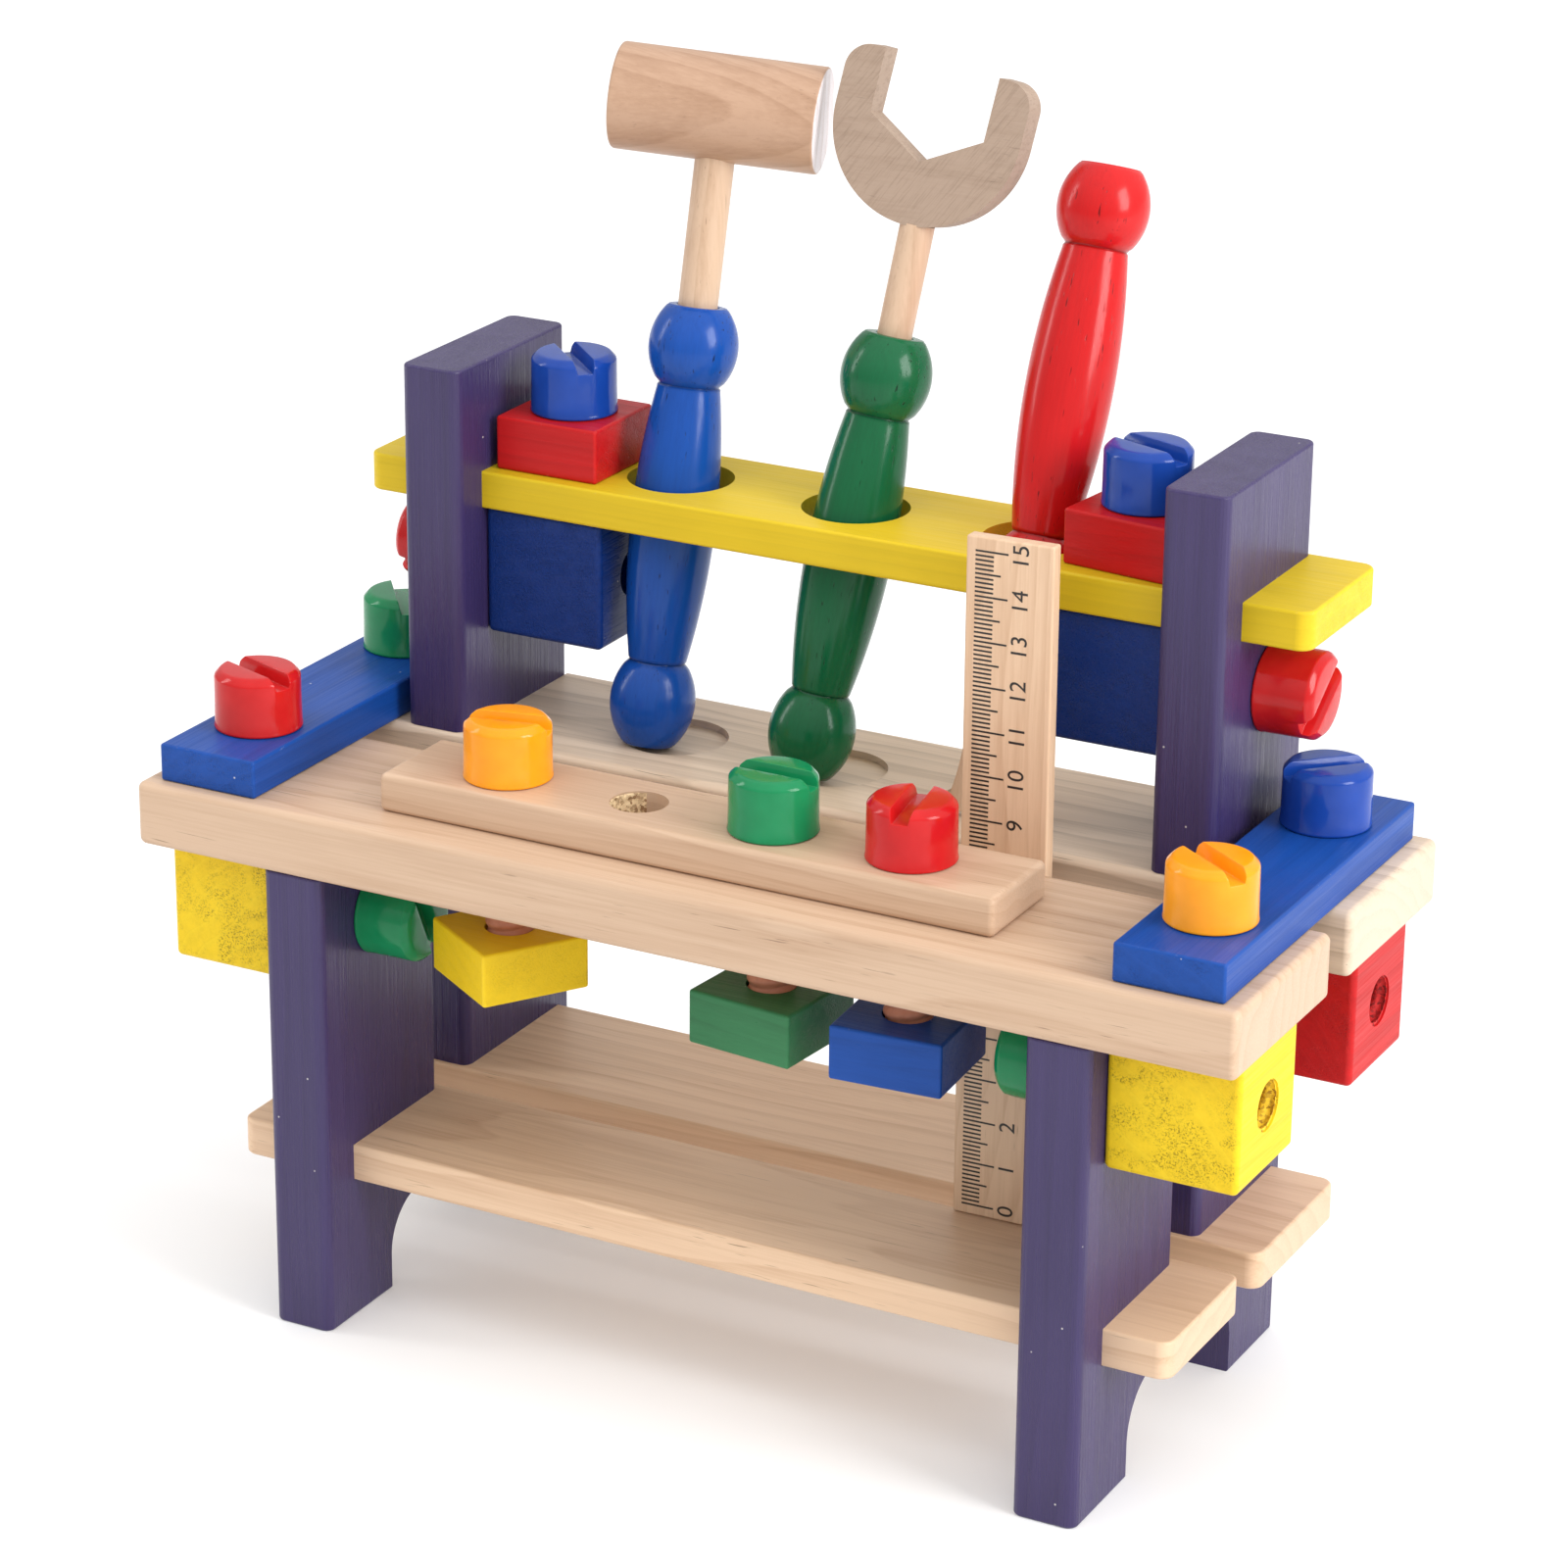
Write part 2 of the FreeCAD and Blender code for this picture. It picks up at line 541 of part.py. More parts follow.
def handle(label, bore_radius, placement, bored_from_top):
    turned = doc.addObject("Part::Feature", label + "_turned")
    turned.Shape = turned_handle()
    low = "handle_length - handle_bore" if bored_from_top else "-5"
    bore = cylinder(label + "_bore", bore_radius, "handle_bore + 5", ("0", "0", low))
    result = cut(label + "_bored", turned, [bore])
    result.Placement = placement
    return finish(result, label)


def rest_floor():
    """Height of the floor of the round rests that the tools stand in."""
    return size("table_underside") + size("board_thickness") - size("rest_depth")


def hammer():
    placement = tool_placement(HAMMER, rest_floor(), FOOT_RADIUS, FOOT_RADIUS)
    grip = handle("hammer_handle", "hammer_shaft_radius", placement, True)
    shaft = cylinder("hammer_dowel", "hammer_shaft_radius",
                     "handle_bore + hammer_shaft_free + hammer_socket",
                     ("0", "0", "handle_length - handle_bore"))
    dowel = doc.addObject("Part::Compound", "hammer_dowel_piece")
    dowel.Links = [shaft]
    head_middle = "handle_length + hammer_shaft_free + hammer_head_radius - 0.8"
    round_bar = cylinder("hammer_bar", "hammer_head_radius", "hammer_head_length",
                         ("-hammer_head_length / 2", "0", head_middle), (1, 0, 0))
    softened = rounded("hammer_bar_soft", round_bar, size("soft_edge"),
                       lambda edge: edge.BoundBox.XLength < 0.01)
    socket = cylinder("hammer_socket_drill", "hammer_shaft_radius", "hammer_shaft_free + hammer_socket",
                      ("0", "0", "handle_length"))
    head = cut("hammer_head_cut", softened, [socket])
    for piece in (dowel, head):
        piece.Placement = placement
    return [grip, finish(dowel, "hammer_shaft"), finish(head, "hammer_head")]


def jaw_mouth(middle):
    """A hexagon, with the way into it from above, that the jaw is cut away by."""
    depth = "wrench_thickness + 10"
    hexagon = doc.addObject("Part::Prism", "jaw_hexagon")
    hexagon.Polygon = 6
    bind(hexagon, Circumradius="wrench_mouth / 2 / cos(30)", Height=depth)
    upright = FreeCAD.Rotation(FreeCAD.Vector(1, 0, 0), 90)
    point_down = FreeCAD.Rotation(FreeCAD.Vector(0, 0, 1), 30)
    hexagon.Placement = FreeCAD.Placement(FreeCAD.Vector(), upright.multiply(point_down))
    put(hexagon, ("wrench_offset", "wrench_thickness / 2 + 5", middle))
    way_in = box("jaw_way_in", ("wrench_mouth", depth, "40"),
                 ("wrench_offset - wrench_mouth / 2", "-wrench_thickness / 2 - 5", middle))
    return [hexagon, way_in]


def wrench_jaw(shoulder):
    """Half a disc below, and straight arms with rounded outer corners above it."""
    middle = f"{shoulder} + wrench_radius"
    disc = cylinder("jaw_disc", "wrench_radius", "wrench_thickness",
                    ("wrench_offset", "wrench_thickness / 2", middle), (0, -1, 0))
    above = box("jaw_above", ("3 * wrench_radius", "wrench_thickness + 2", "wrench_radius + 1"),
                ("-1.5 * wrench_radius", "-wrench_thickness / 2 - 1", middle))
    back = cut("jaw_back", disc, [above])
    arms = box("jaw_arms", ("2 * wrench_radius", "wrench_thickness", "wrench_reach"),
               ("wrench_offset - wrench_radius", "-wrench_thickness / 2", middle))
    doc.recompute()
    top = arms.Shape.BoundBox.ZMax
    tips = rounded("jaw_tips", arms, size("wrench_tip"),
                   lambda edge: edge.BoundBox.YLength > 1 and edge.BoundBox.ZMin > top - 0.01)
    return join("jaw_blank", [back, tips])


def turned_about(height, angle):
    """A turn about the front-to-back line that crosses the Z axis at a height."""
    middle = FreeCAD.Vector(0, 0, height)
    about = FreeCAD.Rotation(FreeCAD.Vector(0, 1, 0), angle)
    return FreeCAD.Placement(middle - about.multVec(middle), about)


def wrench():
    placement = tool_placement(WRENCH, rest_floor(), FOOT_RADIUS, FOOT_RADIUS)
    grip = handle("wrench_handle", "wrench_shaft_radius", placement, True)
    shoulder = "handle_length + wrench_shaft_free"
    tenon_radius = "wrench_shaft_radius * 0.65"
    dowel = cylinder("wrench_dowel", "wrench_shaft_radius", "handle_bore + wrench_shaft_free + 0.5",
                     ("0", "0", "handle_length - handle_bore"))
    tenon = cylinder("wrench_tenon", tenon_radius, "10", ("0", "0", shoulder))
    shaft = join("wrench_dowel_piece", [dowel, tenon])
    seat = cylinder("wrench_seat", "wrench_shaft_radius", "5.5", ("0", "0", f"{shoulder} - 5"))
    socket = cylinder("wrench_socket", tenon_radius, "10", ("0", "0", shoulder))
    mouth = jaw_mouth(f"{shoulder} + wrench_radius + wrench_mouth_rise")
    blank = cut("jaw_mouthed", wrench_jaw(shoulder), mouth)
    middle = size("handle_length") + size("wrench_shaft_free") + size("wrench_radius")
    blank.Placement = turned_about(middle, size("wrench_tilt"))
    jaw = cut("jaw_cut", blank, [seat, socket])
    for piece in (shaft, jaw):
        piece.Placement = placement
    return [grip, finish(shaft, "wrench_shaft"), finish(jaw, "wrench_head")]


def blade_cheek(side):
    """A tilted box that thins one face of the blade towards its tip."""
    thinning = (size("blade_thickness") - size("blade_tip_thickness")) / 2
    tilt = math.degrees(math.atan2(thinning, size("blade_taper")))
    cheek = doc.addObject("Part::Box", "blade_cheek")
    bind(cheek, Length="blade_tip_width + 4", Width="2 * blade_thickness", Height="blade_length")
    corner = FreeCAD.Vector(-size("blade_tip_width") / 2 - 2, size("blade_tip_thickness") / 2, 0)
    slope = FreeCAD.Placement(corner, FreeCAD.Rotation(FreeCAD.Vector(1, 0, 0), -tilt))
    about = FreeCAD.Rotation(FreeCAD.Vector(0, 0, 1), 0 if side > 0 else 180)
    cheek.Placement = FreeCAD.Placement(FreeCAD.Vector(), about).multiply(slope)
    return cheek


def screwdriver_blade():
    """A flat blade that flares to its tip and thins towards it, with a round tenon."""
    slab = box("blade_slab", ("blade_tip_width", "blade_thickness", "blade_length"),
               ("-blade_tip_width / 2", "-blade_thickness / 2", "0"))
    flare_height = "(sqrt(blade_flare * (blade_tip_width - blade_width)) + 2)"
    across = "blade_thickness + 2"
    tools = []
    for side in (-1, 1):
        hollow = (f"{side} * (blade_width / 2 + blade_flare)", "blade_thickness / 2 + 1", flare_height)
        tools.append(cylinder("blade_hollow", "blade_flare", across, hollow, (0, -1, 0)))
        flank_x = "blade_width / 2" if side > 0 else "-blade_width / 2 - 20"
        tools.append(box("blade_flank", ("20", across, "blade_length"),
                         (flank_x, "-blade_thickness / 2 - 1", flare_height)))
        tools.append(blade_cheek(side))
    blade = cut("blade_shaped", slab, tools)
    tenon = cylinder("blade_tenon", "wrench_shaft_radius", "handle_bore + 8",
                     ("0", "0", "blade_length - 8"))
    return join("blade_piece", [blade, tenon])


def screwdriver():
    floor = size("table_underside") + size("board_thickness")
    placement = tool_placement(SCREWDRIVER, floor, size("blade_tip_width") / 2,
                               size("blade_tip_thickness") / 2)
    blade = screwdriver_blade()
    blade.Placement = placement
    above_blade = FreeCAD.Placement(FreeCAD.Vector(0, 0, size("blade_length")), FreeCAD.Rotation())
    grip = handle("screwdriver_handle", "wrench_shaft_radius", placement.multiply(above_blade), False)
    return [grip, finish(blade, "screwdriver_blade")]


def ruler():
    stick = box("ruler_stick", ("ruler_width", "ruler_thickness", "ruler_length"), ("0", "0", "0"))
    softened = rounded("ruler_soft", stick, size("ruler_edge"))
    along = FreeCAD.Vector(size("ruler_side_lean"), size("ruler_lean"), 1)
    lean = FreeCAD.Rotation(FreeCAD.Vector(0, 0, 1), along)
    softened.Placement = FreeCAD.Placement(FreeCAD.Vector(), lean)
    lift = "seat_gap + ruler_thickness * ruler_lean"
    put(softened, ("ruler_left", "gap_middle - ruler_front",
                   f"shelf_underside + slat_thickness + {lift}"))
    return finish(softened, "ruler")


def build_all():
    pieces = [front_table_plank(), rear_table_plank(), rack_bar(), hole_strip()]
    pieces += shelves()
    for name, side in SIDES:
        pieces += [front_leg(name, side), tall_board(name, side), end_strip(name, side)]
    pieces += blocks_and_nuts() + table_bolts() + board_bolts()
    pieces += hammer() + wrench() + screwdriver()
    pieces.append(ruler())
    return pieces


def check_and_write(pieces):
    doc.recompute()
    for item in doc.Objects:
        if "Invalid" in item.State or "Error" in item.State:
            raise RuntimeError(item.Name + " did not compute: " + str(item.State))
    os.makedirs("parts", exist_ok=True)
    for piece in pieces:
        shape = piece.Shape
        if shape.isNull() or not shape.isValid() or len(shape.Solids) != 1:
            raise RuntimeError(piece.Label + " is not one sound solid")
        shape.exportStep(f"parts/{piece.Label}.step")
    whole = Part.makeCompound([piece.Shape for piece in pieces]).BoundBox
    print(f"{len(pieces)} pieces, x {whole.XMin:.2f} to {whole.XMax:.2f}, "
          f"y {whole.YMin:.2f} to {whole.YMax:.2f}, z {whole.ZMin:.2f} to {whole.ZMax:.2f}")


fill_sheet()
check_and_write(build_all())
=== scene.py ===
import json
import math
import random

import bmesh
import bpy
from mathutils import Matrix, Vector


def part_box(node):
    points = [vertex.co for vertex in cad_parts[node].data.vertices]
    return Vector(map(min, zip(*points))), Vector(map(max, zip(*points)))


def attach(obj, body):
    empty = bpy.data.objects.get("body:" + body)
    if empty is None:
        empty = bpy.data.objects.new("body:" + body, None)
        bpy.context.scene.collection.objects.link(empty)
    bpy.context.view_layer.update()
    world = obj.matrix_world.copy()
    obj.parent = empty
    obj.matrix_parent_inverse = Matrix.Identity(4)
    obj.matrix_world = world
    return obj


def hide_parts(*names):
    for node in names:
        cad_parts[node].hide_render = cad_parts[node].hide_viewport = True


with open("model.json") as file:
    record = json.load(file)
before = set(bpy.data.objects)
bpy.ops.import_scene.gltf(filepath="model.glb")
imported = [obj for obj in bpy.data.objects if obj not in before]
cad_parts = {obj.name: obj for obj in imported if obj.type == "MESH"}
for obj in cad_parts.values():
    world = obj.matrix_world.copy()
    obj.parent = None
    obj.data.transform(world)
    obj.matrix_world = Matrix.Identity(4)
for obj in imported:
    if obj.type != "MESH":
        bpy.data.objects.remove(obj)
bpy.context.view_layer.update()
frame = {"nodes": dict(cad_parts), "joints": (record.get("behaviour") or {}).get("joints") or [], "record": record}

# Looks of a wooden toy tool bench: pine planks, painted boards and blocks,
# lacquered turned handles, moulded plastic bolts and a printed ruler.

MM = 0.001          # one millimetre in the scene's metres
NODES = frame["nodes"]
JOINTS = {joint["child"]: joint for joint in frame["joints"]}
SLOTS = {part["node"]: part["material_slot"] for part in frame["record"]["subparts"]}
random.seed(7)


# ---------------------------------------------------------------- colours

# Bare woods: (pale early wood, dark late wood).
PINE = ((0.62, 0.435, 0.300), (0.41, 0.24, 0.14))
PALE_PINE = ((0.75, 0.525, 0.350), (0.50, 0.29, 0.165))
GREY_PINE = ((0.72, 0.565, 0.425), (0.43, 0.315, 0.22))
HAMMER_BEECH = ((0.50, 0.315, 0.210), (0.32, 0.175, 0.10))
WRENCH_BEECH = ((0.39, 0.285, 0.215), (0.26, 0.175, 0.12))
# Near white: painted light on the hammer head's cut ends, where the key light falls.
HAMMER_LIT_ENDS = (0.93, 0.91, 0.96)

PURPLE = (0.041, 0.027, 0.104)
RACK_YELLOW = (0.68, 0.48, 0.014)
BLOCK_YELLOW = (0.81, 0.55, 0.012)
BLUE = (0.007, 0.064, 0.32)
RACK_BLUE = (0.004, 0.030, 0.185)
RED = (0.52, 0.008, 0.009)
GREEN = (0.034, 0.175, 0.068)
BARE_SPECK = (0.82, 0.78, 0.72)     # chipped paint and dust

HANDLE_BLUE = (0.006, 0.066, 0.34)
HANDLE_GREEN = (0.004, 0.108, 0.038)
HANDLE_RED = (0.54, 0.008, 0.009)

BOLT_TINTS = {"red_plastic": (0.53, 0.009, 0.010), "green_plastic": (0.006, 0.22, 0.078),
              "blue_plastic": (0.007, 0.050, 0.31), "orange_plastic": (0.90, 0.32, 0.007)}
SALMON = ((0.50, 0.19, 0.11), (0.62, 0.27, 0.17))

# Torn wood inside holes: (pale, dark).
TORN_PINE = ((0.92, 0.70, 0.42), (0.34, 0.19, 0.09))
TORN_YELLOW = ((0.92, 0.62, 0.03), (0.40, 0.21, 0.010))
TORN_RED = ((0.60, 0.018, 0.018), (0.22, 0.006, 0.006))

INK = ((0.018, 0.015, 0.014), (0.16, 0.11, 0.08))       # (full, worn)
FLOOR_WHITE = ((0.76, 0.76, 0.76), (0.80, 0.80, 0.80))


# ---------------------------------------------------------------- shader nodes

class Graph:
    """Short calls for building one material's node tree."""

    def __init__(self, name):
        self.material = bpy.data.materials.new(name)
        self.material.use_nodes = True
        self.nodes = self.material.node_tree.nodes
        self.links = self.material.node_tree.links
        self.shader = self.nodes["Principled BSDF"]

    def add(self, kind, inputs=None, **settings):
        """A new node; settings are its properties, inputs its values or links."""
        node = self.nodes.new(kind)
        for name, value in settings.items():
            setattr(node, name, value)
        for name, value in (inputs or {}).items():
            self.feed(value, node.inputs[name])
        return node

    def feed(self, value, socket):
        if isinstance(value, bpy.types.NodeSocket):
            self.links.new(value, socket)
        elif value is not None:
            socket.default_value = value

    def math(self, operation, first, second=None, clamp=False):
        node = self.add("ShaderNodeMath", {0: first, 1: second}, operation=operation)
        node.use_clamp = clamp
        return node.outputs[0]

    def vector(self, operation, first, second=None, output=0):
        node = self.add("ShaderNodeVectorMath", {0: first, 1: second}, operation=operation)
        return node.outputs[output]

    def stretch(self, value, low, high, out_low=0.0, out_high=1.0):
        """Maps low..high to out_low..out_high, held at the ends."""
        inputs = {"Value": value, "From Min": low, "From Max": high,
                  "To Min": out_low, "To Max": out_high}
        return self.add("ShaderNodeMapRange", inputs).outputs["Result"]

    def mix(self, factor, first, second):
        """The first colour at factor 0, the second at factor 1."""
        node = self.add("ShaderNodeMix", data_type="RGBA")
        self.feed(factor, node.inputs["Factor"])
        self.feed(colour(first), node.inputs["A"])
        self.feed(colour(second), node.inputs["B"])
        return node.outputs["Result"]

    def noise(self, vector, scale, detail=3.0, roughness=0.5, distortion=0.0):
        inputs = {"Vector": vector, "Scale": scale, "Detail": detail,
                  "Roughness": roughness, "Distortion": distortion}
        return self.add("ShaderNodeTexNoise", inputs).outputs["Fac"]

    def bump(self, height, strength, distance):
        inputs = {"Height": height, "Strength": strength, "Distance": distance}
        return self.add("ShaderNodeBump", inputs).outputs["Normal"]

    def set(self, **inputs):
        """Sets the shader's inputs; Base_Color stands for "Base Color"."""
        for name, value in inputs.items():
            value = colour(value) if name.endswith("Color") else value
            self.feed(value, self.shader.inputs[name.replace("_", " ")])


def colour(value):
    """Three numbers become a colour; anything else is passed on."""
    if isinstance(value, tuple) and len(value) == 3:
        return (*value, 1.0)
    return value


def scaled(tint, factor):
    """A tint made darker or lighter."""
    return tuple(c * factor for c in tint)


# ---------------------------------------------------------------- materials

# For a grain along x, y or z: the object's axes that become X, Y and Z of the grain space.
AXES = {"x": (0, 1, 2), "y": (1, 2, 0), "z": (2, 0, 1)}


def grain_space(g, along, shift):
    """Object coordinates in millimetres, turned so that X runs along the grain."""
    place = g.add("ShaderNodeTexCoord").outputs["Object"]
    apart = g.add("ShaderNodeSeparateXYZ", {0: place}).outputs
    order = AXES[along]
    turned = g.add("ShaderNodeCombineXYZ", {i: apart[order[i]] for i in range(3)}).outputs[0]
    in_mm = g.vector("SCALE", turned)
    in_mm.node.inputs["Scale"].default_value = 1 / MM
    return g.vector("ADD", in_mm, shift)


def squeezed(g, space, along, across):
    """The grain space scaled separately along and across the grain."""
    return g.vector("MULTIPLY", space, (along, across, across))


def end_grain(g, along):
    """1 on faces that cut straight across the grain, 0 on the others."""
    normal = g.add("ShaderNodeTexCoord").outputs["Normal"]
    apart = g.add("ShaderNodeSeparateXYZ", {0: normal}).outputs
    share = g.math("ABSOLUTE", apart[AXES[along][0]])
    return g.stretch(share, 0.75, 0.95)


def rings(g, space, spacing, heart, wander):
    """Growth rings round a heart beside the piece: 0 early wood rising to 1 late wood."""
    drift = g.noise(squeezed(g, space, 0.006, 0.03), 1.0, 2.0)
    flame = g.math("MULTIPLY", g.math("SUBTRACT", drift, 0.5), wander)
    from_heart = g.vector("SUBTRACT", space, (0.0, *heart))
    flat = g.vector("MULTIPLY", from_heart, (0.0, 1.0, 1.0))
    radius = g.math("ADD", g.vector("LENGTH", flat, output=1), flame)
    phase = g.math("FRACT", g.math("DIVIDE", radius, spacing))
    rise = g.math("POWER", phase, 2.2)
    fall = g.stretch(phase, 0.93, 1.0, 1.0, 0.0)
    return g.math("MULTIPLY", rise, fall)


def edge_mask(g, radius):
    """1 on sharp outer edges, from the difference a small bevel makes."""
    rounded = g.add("ShaderNodeBevel", {"Radius": radius}, samples=4).outputs["Normal"]
    plain = g.add("ShaderNodeNewGeometry").outputs["Normal"]
    agree = g.vector("DOT_PRODUCT", rounded, plain, output=1)
    return g.stretch(agree, 0.99, 0.90)


def saw_marks(g, space):
    """Fine slanting lines left by a sanding belt."""
    slanted = g.vector("MULTIPLY", g.add("ShaderNodeVectorRotate", {"Vector": space, "Angle": 0.95},
                                         rotation_type="Y_AXIS").outputs[0], (0.06, 0.5, 2.6))
    return g.stretch(g.noise(slanted, 1.0, 2.0, 0.7), 0.5, 0.75)


def bare_wood(name, along, pale, dark, shift, spacing=4.5, heart=(60.0, 25.0), wander=26.0,
              contrast=0.38, roughness=0.42, dashes=0.6, end_rings=0.3, ends=None, hatch=0.0):
    """Planed pine or beech under a thin clear varnish."""
    g = Graph(name)
    space = grain_space(g, along, shift)
    ring = rings(g, space, spacing, heart, wander)
    fibre = g.noise(squeezed(g, space, 0.035, 1.6), 1.0, 4.0, 0.65)
    streak = g.noise(squeezed(g, space, 0.012, 0.32), 1.0, 3.0, 0.55)
    cloud = g.noise(squeezed(g, space, 0.008, 0.02), 1.0, 2.0)

    # 0 is pale early wood, 1 is dark late wood.
    tone = g.math("MULTIPLY", ring, contrast)
    tone = g.math("ADD", tone, g.stretch(fibre, 0.3, 0.75, -0.14, 0.2))
    tone = g.math("ADD", tone, g.stretch(streak, 0.35, 0.7, -0.12, 0.22))
    tone = g.math("ADD", tone, g.stretch(cloud, 0.3, 0.7, -0.1, 0.14), clamp=True)
    base = g.mix(tone, pale, dark)

    # Short dark dashes, gathered in patches.
    tick = g.noise(squeezed(g, space, 0.11, 2.4), 1.0, 1.0, 0.4)
    tick_mask = g.math("MULTIPLY", g.stretch(tick, 0.70, 0.78), dashes)
    gate = g.stretch(g.noise(squeezed(g, space, 0.02, 0.12), 1.0, 1.0), 0.46, 0.6)
    base = g.mix(g.math("MULTIPLY", tick_mask, gate), base, scaled(dark, 0.38))

    # Cut ends: pores and rings. An ends colour given in place of the pale tint, as on the hammer head, is painted
    # light.
    across = end_grain(g, along)
    pores = g.noise(g.vector("MULTIPLY", space, (1.5, 3.2, 3.2)), 1.0, 2.0)
    end_colour = ends or pale
    end_tone = g.mix(g.stretch(pores, 0.35, 0.7), scaled(end_colour, 0.97),
                     tuple(c * 0.80 + 0.02 for c in end_colour))
    end_tone = g.mix(g.math("MULTIPLY", ring, end_rings), end_tone, scaled(dark, 1.1))
    base = g.mix(g.math("MULTIPLY", across, 0.85), base, end_tone)
    if hatch:
        base = g.mix(g.math("MULTIPLY", saw_marks(g, space), hatch), base, scaled(dark, 0.75))

    g.set(Base_Color=base)
    g.set(Roughness=g.stretch(fibre, 0.25, 0.8, roughness - 0.07, roughness + 0.12))
    g.set(Coat_Weight=0.05, Coat_Roughness=0.22, Specular_IOR_Level=0.3)
    height = g.math("ADD", g.math("MULTIPLY", fibre, 0.7), g.math("MULTIPLY", ring, 0.25))
    height = g.math("SUBTRACT", height, g.math("MULTIPLY", tick_mask, 0.6))
    g.set(Normal=g.bump(height, 0.35, 0.12 * MM))
    return g.material


def paint(name, along, tint, shift, show=0.35, worn=0.55, roughness=0.34, spacing=4.0,
          heart=(40.0, 18.0), pits=0.4, streaks=0.5, shine=0.22):
    """Thin satin paint: the grain shows through it and its edges have small chips."""
    g = Graph(name)
    space = grain_space(g, along, shift)
    ring = rings(g, space, spacing, heart, 18.0)
    fibre = g.noise(squeezed(g, space, 0.03, 1.9), 1.0, 4.0, 0.65)
    streak = g.noise(squeezed(g, space, 0.014, 0.45), 1.0, 3.0, 0.6)
    cloud = g.noise(squeezed(g, space, 0.02, 0.05), 1.0, 2.0)
    light = tuple(min(1.0, c * 1.3 + 0.008) for c in tint)
    deep = scaled(tint, 0.62)

    # The grain under the paint.
    tone = g.math("MULTIPLY", ring, show)
    tone = g.math("ADD", tone, g.stretch(fibre, 0.3, 0.75, 0.0, show * 0.7))
    tone = g.math("ADD", tone, g.stretch(streak, 0.35, 0.7, -0.1, show * 0.6), clamp=True)
    base = g.mix(tone, tint, deep)
    base = g.mix(g.stretch(cloud, 0.45, 0.75, 0.0, 0.3), base, light)

    # Cut ends: bands of rough pits, and pale rings.
    across = end_grain(g, along)
    grit = g.noise(g.vector("MULTIPLY", space, (2.2, 2.6, 2.6)), 1.0, 2.0, 0.6)
    bands = g.stretch(g.noise(squeezed(g, space, 0.01, 0.11), 1.0, 2.0, 0.5, 1.2), 0.42, 0.62)
    pit = g.math("MULTIPLY", g.stretch(grit, 0.50, 0.64), g.math("MULTIPLY", across, bands))
    base = g.mix(g.math("MULTIPLY", pit, pits), base, scaled(tint, 0.42))
    pale_arc = g.math("MULTIPLY", g.stretch(ring, 0.35, 0.8), across)
    base = g.mix(g.math("MULTIPLY", pale_arc, 0.28), base, light)

    # Paler edges, a painted highlight, with small chips on them, and specks of dust everywhere.
    edge = edge_mask(g, 0.9 * MM)
    base = g.mix(g.math("MULTIPLY", edge, 0.35), base, light)
    chips = g.noise(g.vector("MULTIPLY", space, (0.9, 1.1, 1.1)), 1.0, 2.0, 0.7)
    chip = g.math("MULTIPLY", edge, g.stretch(chips, 0.685, 0.715))
    base = g.mix(g.math("MULTIPLY", chip, worn), base, BARE_SPECK)
    dust = g.add("ShaderNodeTexVoronoi", {"Vector": space, "Scale": 0.085}).outputs["Distance"]
    base = g.mix(g.stretch(dust, 0.024, 0.014, 0.0, 0.6), base, BARE_SPECK)

    g.set(Base_Color=base)
    g.set(Roughness=g.stretch(fibre, 0.3, 0.7, roughness - 0.08, roughness + 0.14))
    g.set(Specular_IOR_Level=shine)
    height = g.math("ADD", g.math("MULTIPLY", fibre, streaks), g.math("MULTIPLY", streak, 0.6))
    height = g.math("SUBTRACT", height, g.math("MULTIPLY", pit, 0.7))
    height = g.math("SUBTRACT", height, g.math("MULTIPLY", chip, 0.8))
    g.set(Normal=g.bump(height, 0.5, 0.22 * MM))
    return g.material


def lacquer(name, tint, shift):
    """Glossy lacquer over turned wood, with grain pits along it and painted shade in its creases."""
    g = Graph(name)
    space = grain_space(g, "z", shift)
    fibre = g.noise(squeezed(g, space, 0.05, 1.5), 1.0, 3.0, 0.6)
    tick = g.noise(squeezed(g, space, 0.28, 2.0), 1.0, 1.0, 0.4)
    gate = g.stretch(g.noise(squeezed(g, space, 0.03, 0.3), 1.0, 1.0), 0.48, 0.6)
    pit = g.math("MULTIPLY", g.stretch(tick, 0.67, 0.73), gate)
    cloud = g.noise(squeezed(g, space, 0.03, 0.08), 1.0, 2.0)
    light = tuple(min(1.0, c * 1.25 + 0.01) for c in tint)
    base = g.mix(g.stretch(fibre, 0.4, 0.8, 0.0, 0.3), tint, scaled(tint, 0.55))
    base = g.mix(g.stretch(cloud, 0.45, 0.75, 0.0, 0.35), base, light)
    # Painted shade: the creases between the turned curves are darkened.
    crease_shade = g.add("ShaderNodeAttribute", attribute_name="crease_shade").outputs["Fac"]
    base = g.mix(g.math("MULTIPLY", crease_shade, 0.7), base, scaled(tint, 0.16))
    base = g.mix(g.math("MULTIPLY", pit, 0.8), base, scaled(tint, 0.12))
    g.set(Base_Color=base)
    g.set(Roughness=g.stretch(fibre, 0.3, 0.7, 0.17, 0.27))
    g.set(Coat_Weight=0.08, Coat_Roughness=0.07, Specular_IOR_Level=0.22)
    waves = g.noise(squeezed(g, space, 0.05, 0.35), 1.0, 2.0)
    height = g.math("ADD", g.math("MULTIPLY", waves, 0.5), g.math("MULTIPLY", fibre, 0.16))
    height = g.math("SUBTRACT", height, g.math("MULTIPLY", pit, 0.9))
    bumped = g.bump(height, 0.35, 0.25 * MM)
    g.set(Normal=bumped, Coat_Normal=bumped)
    return g.material


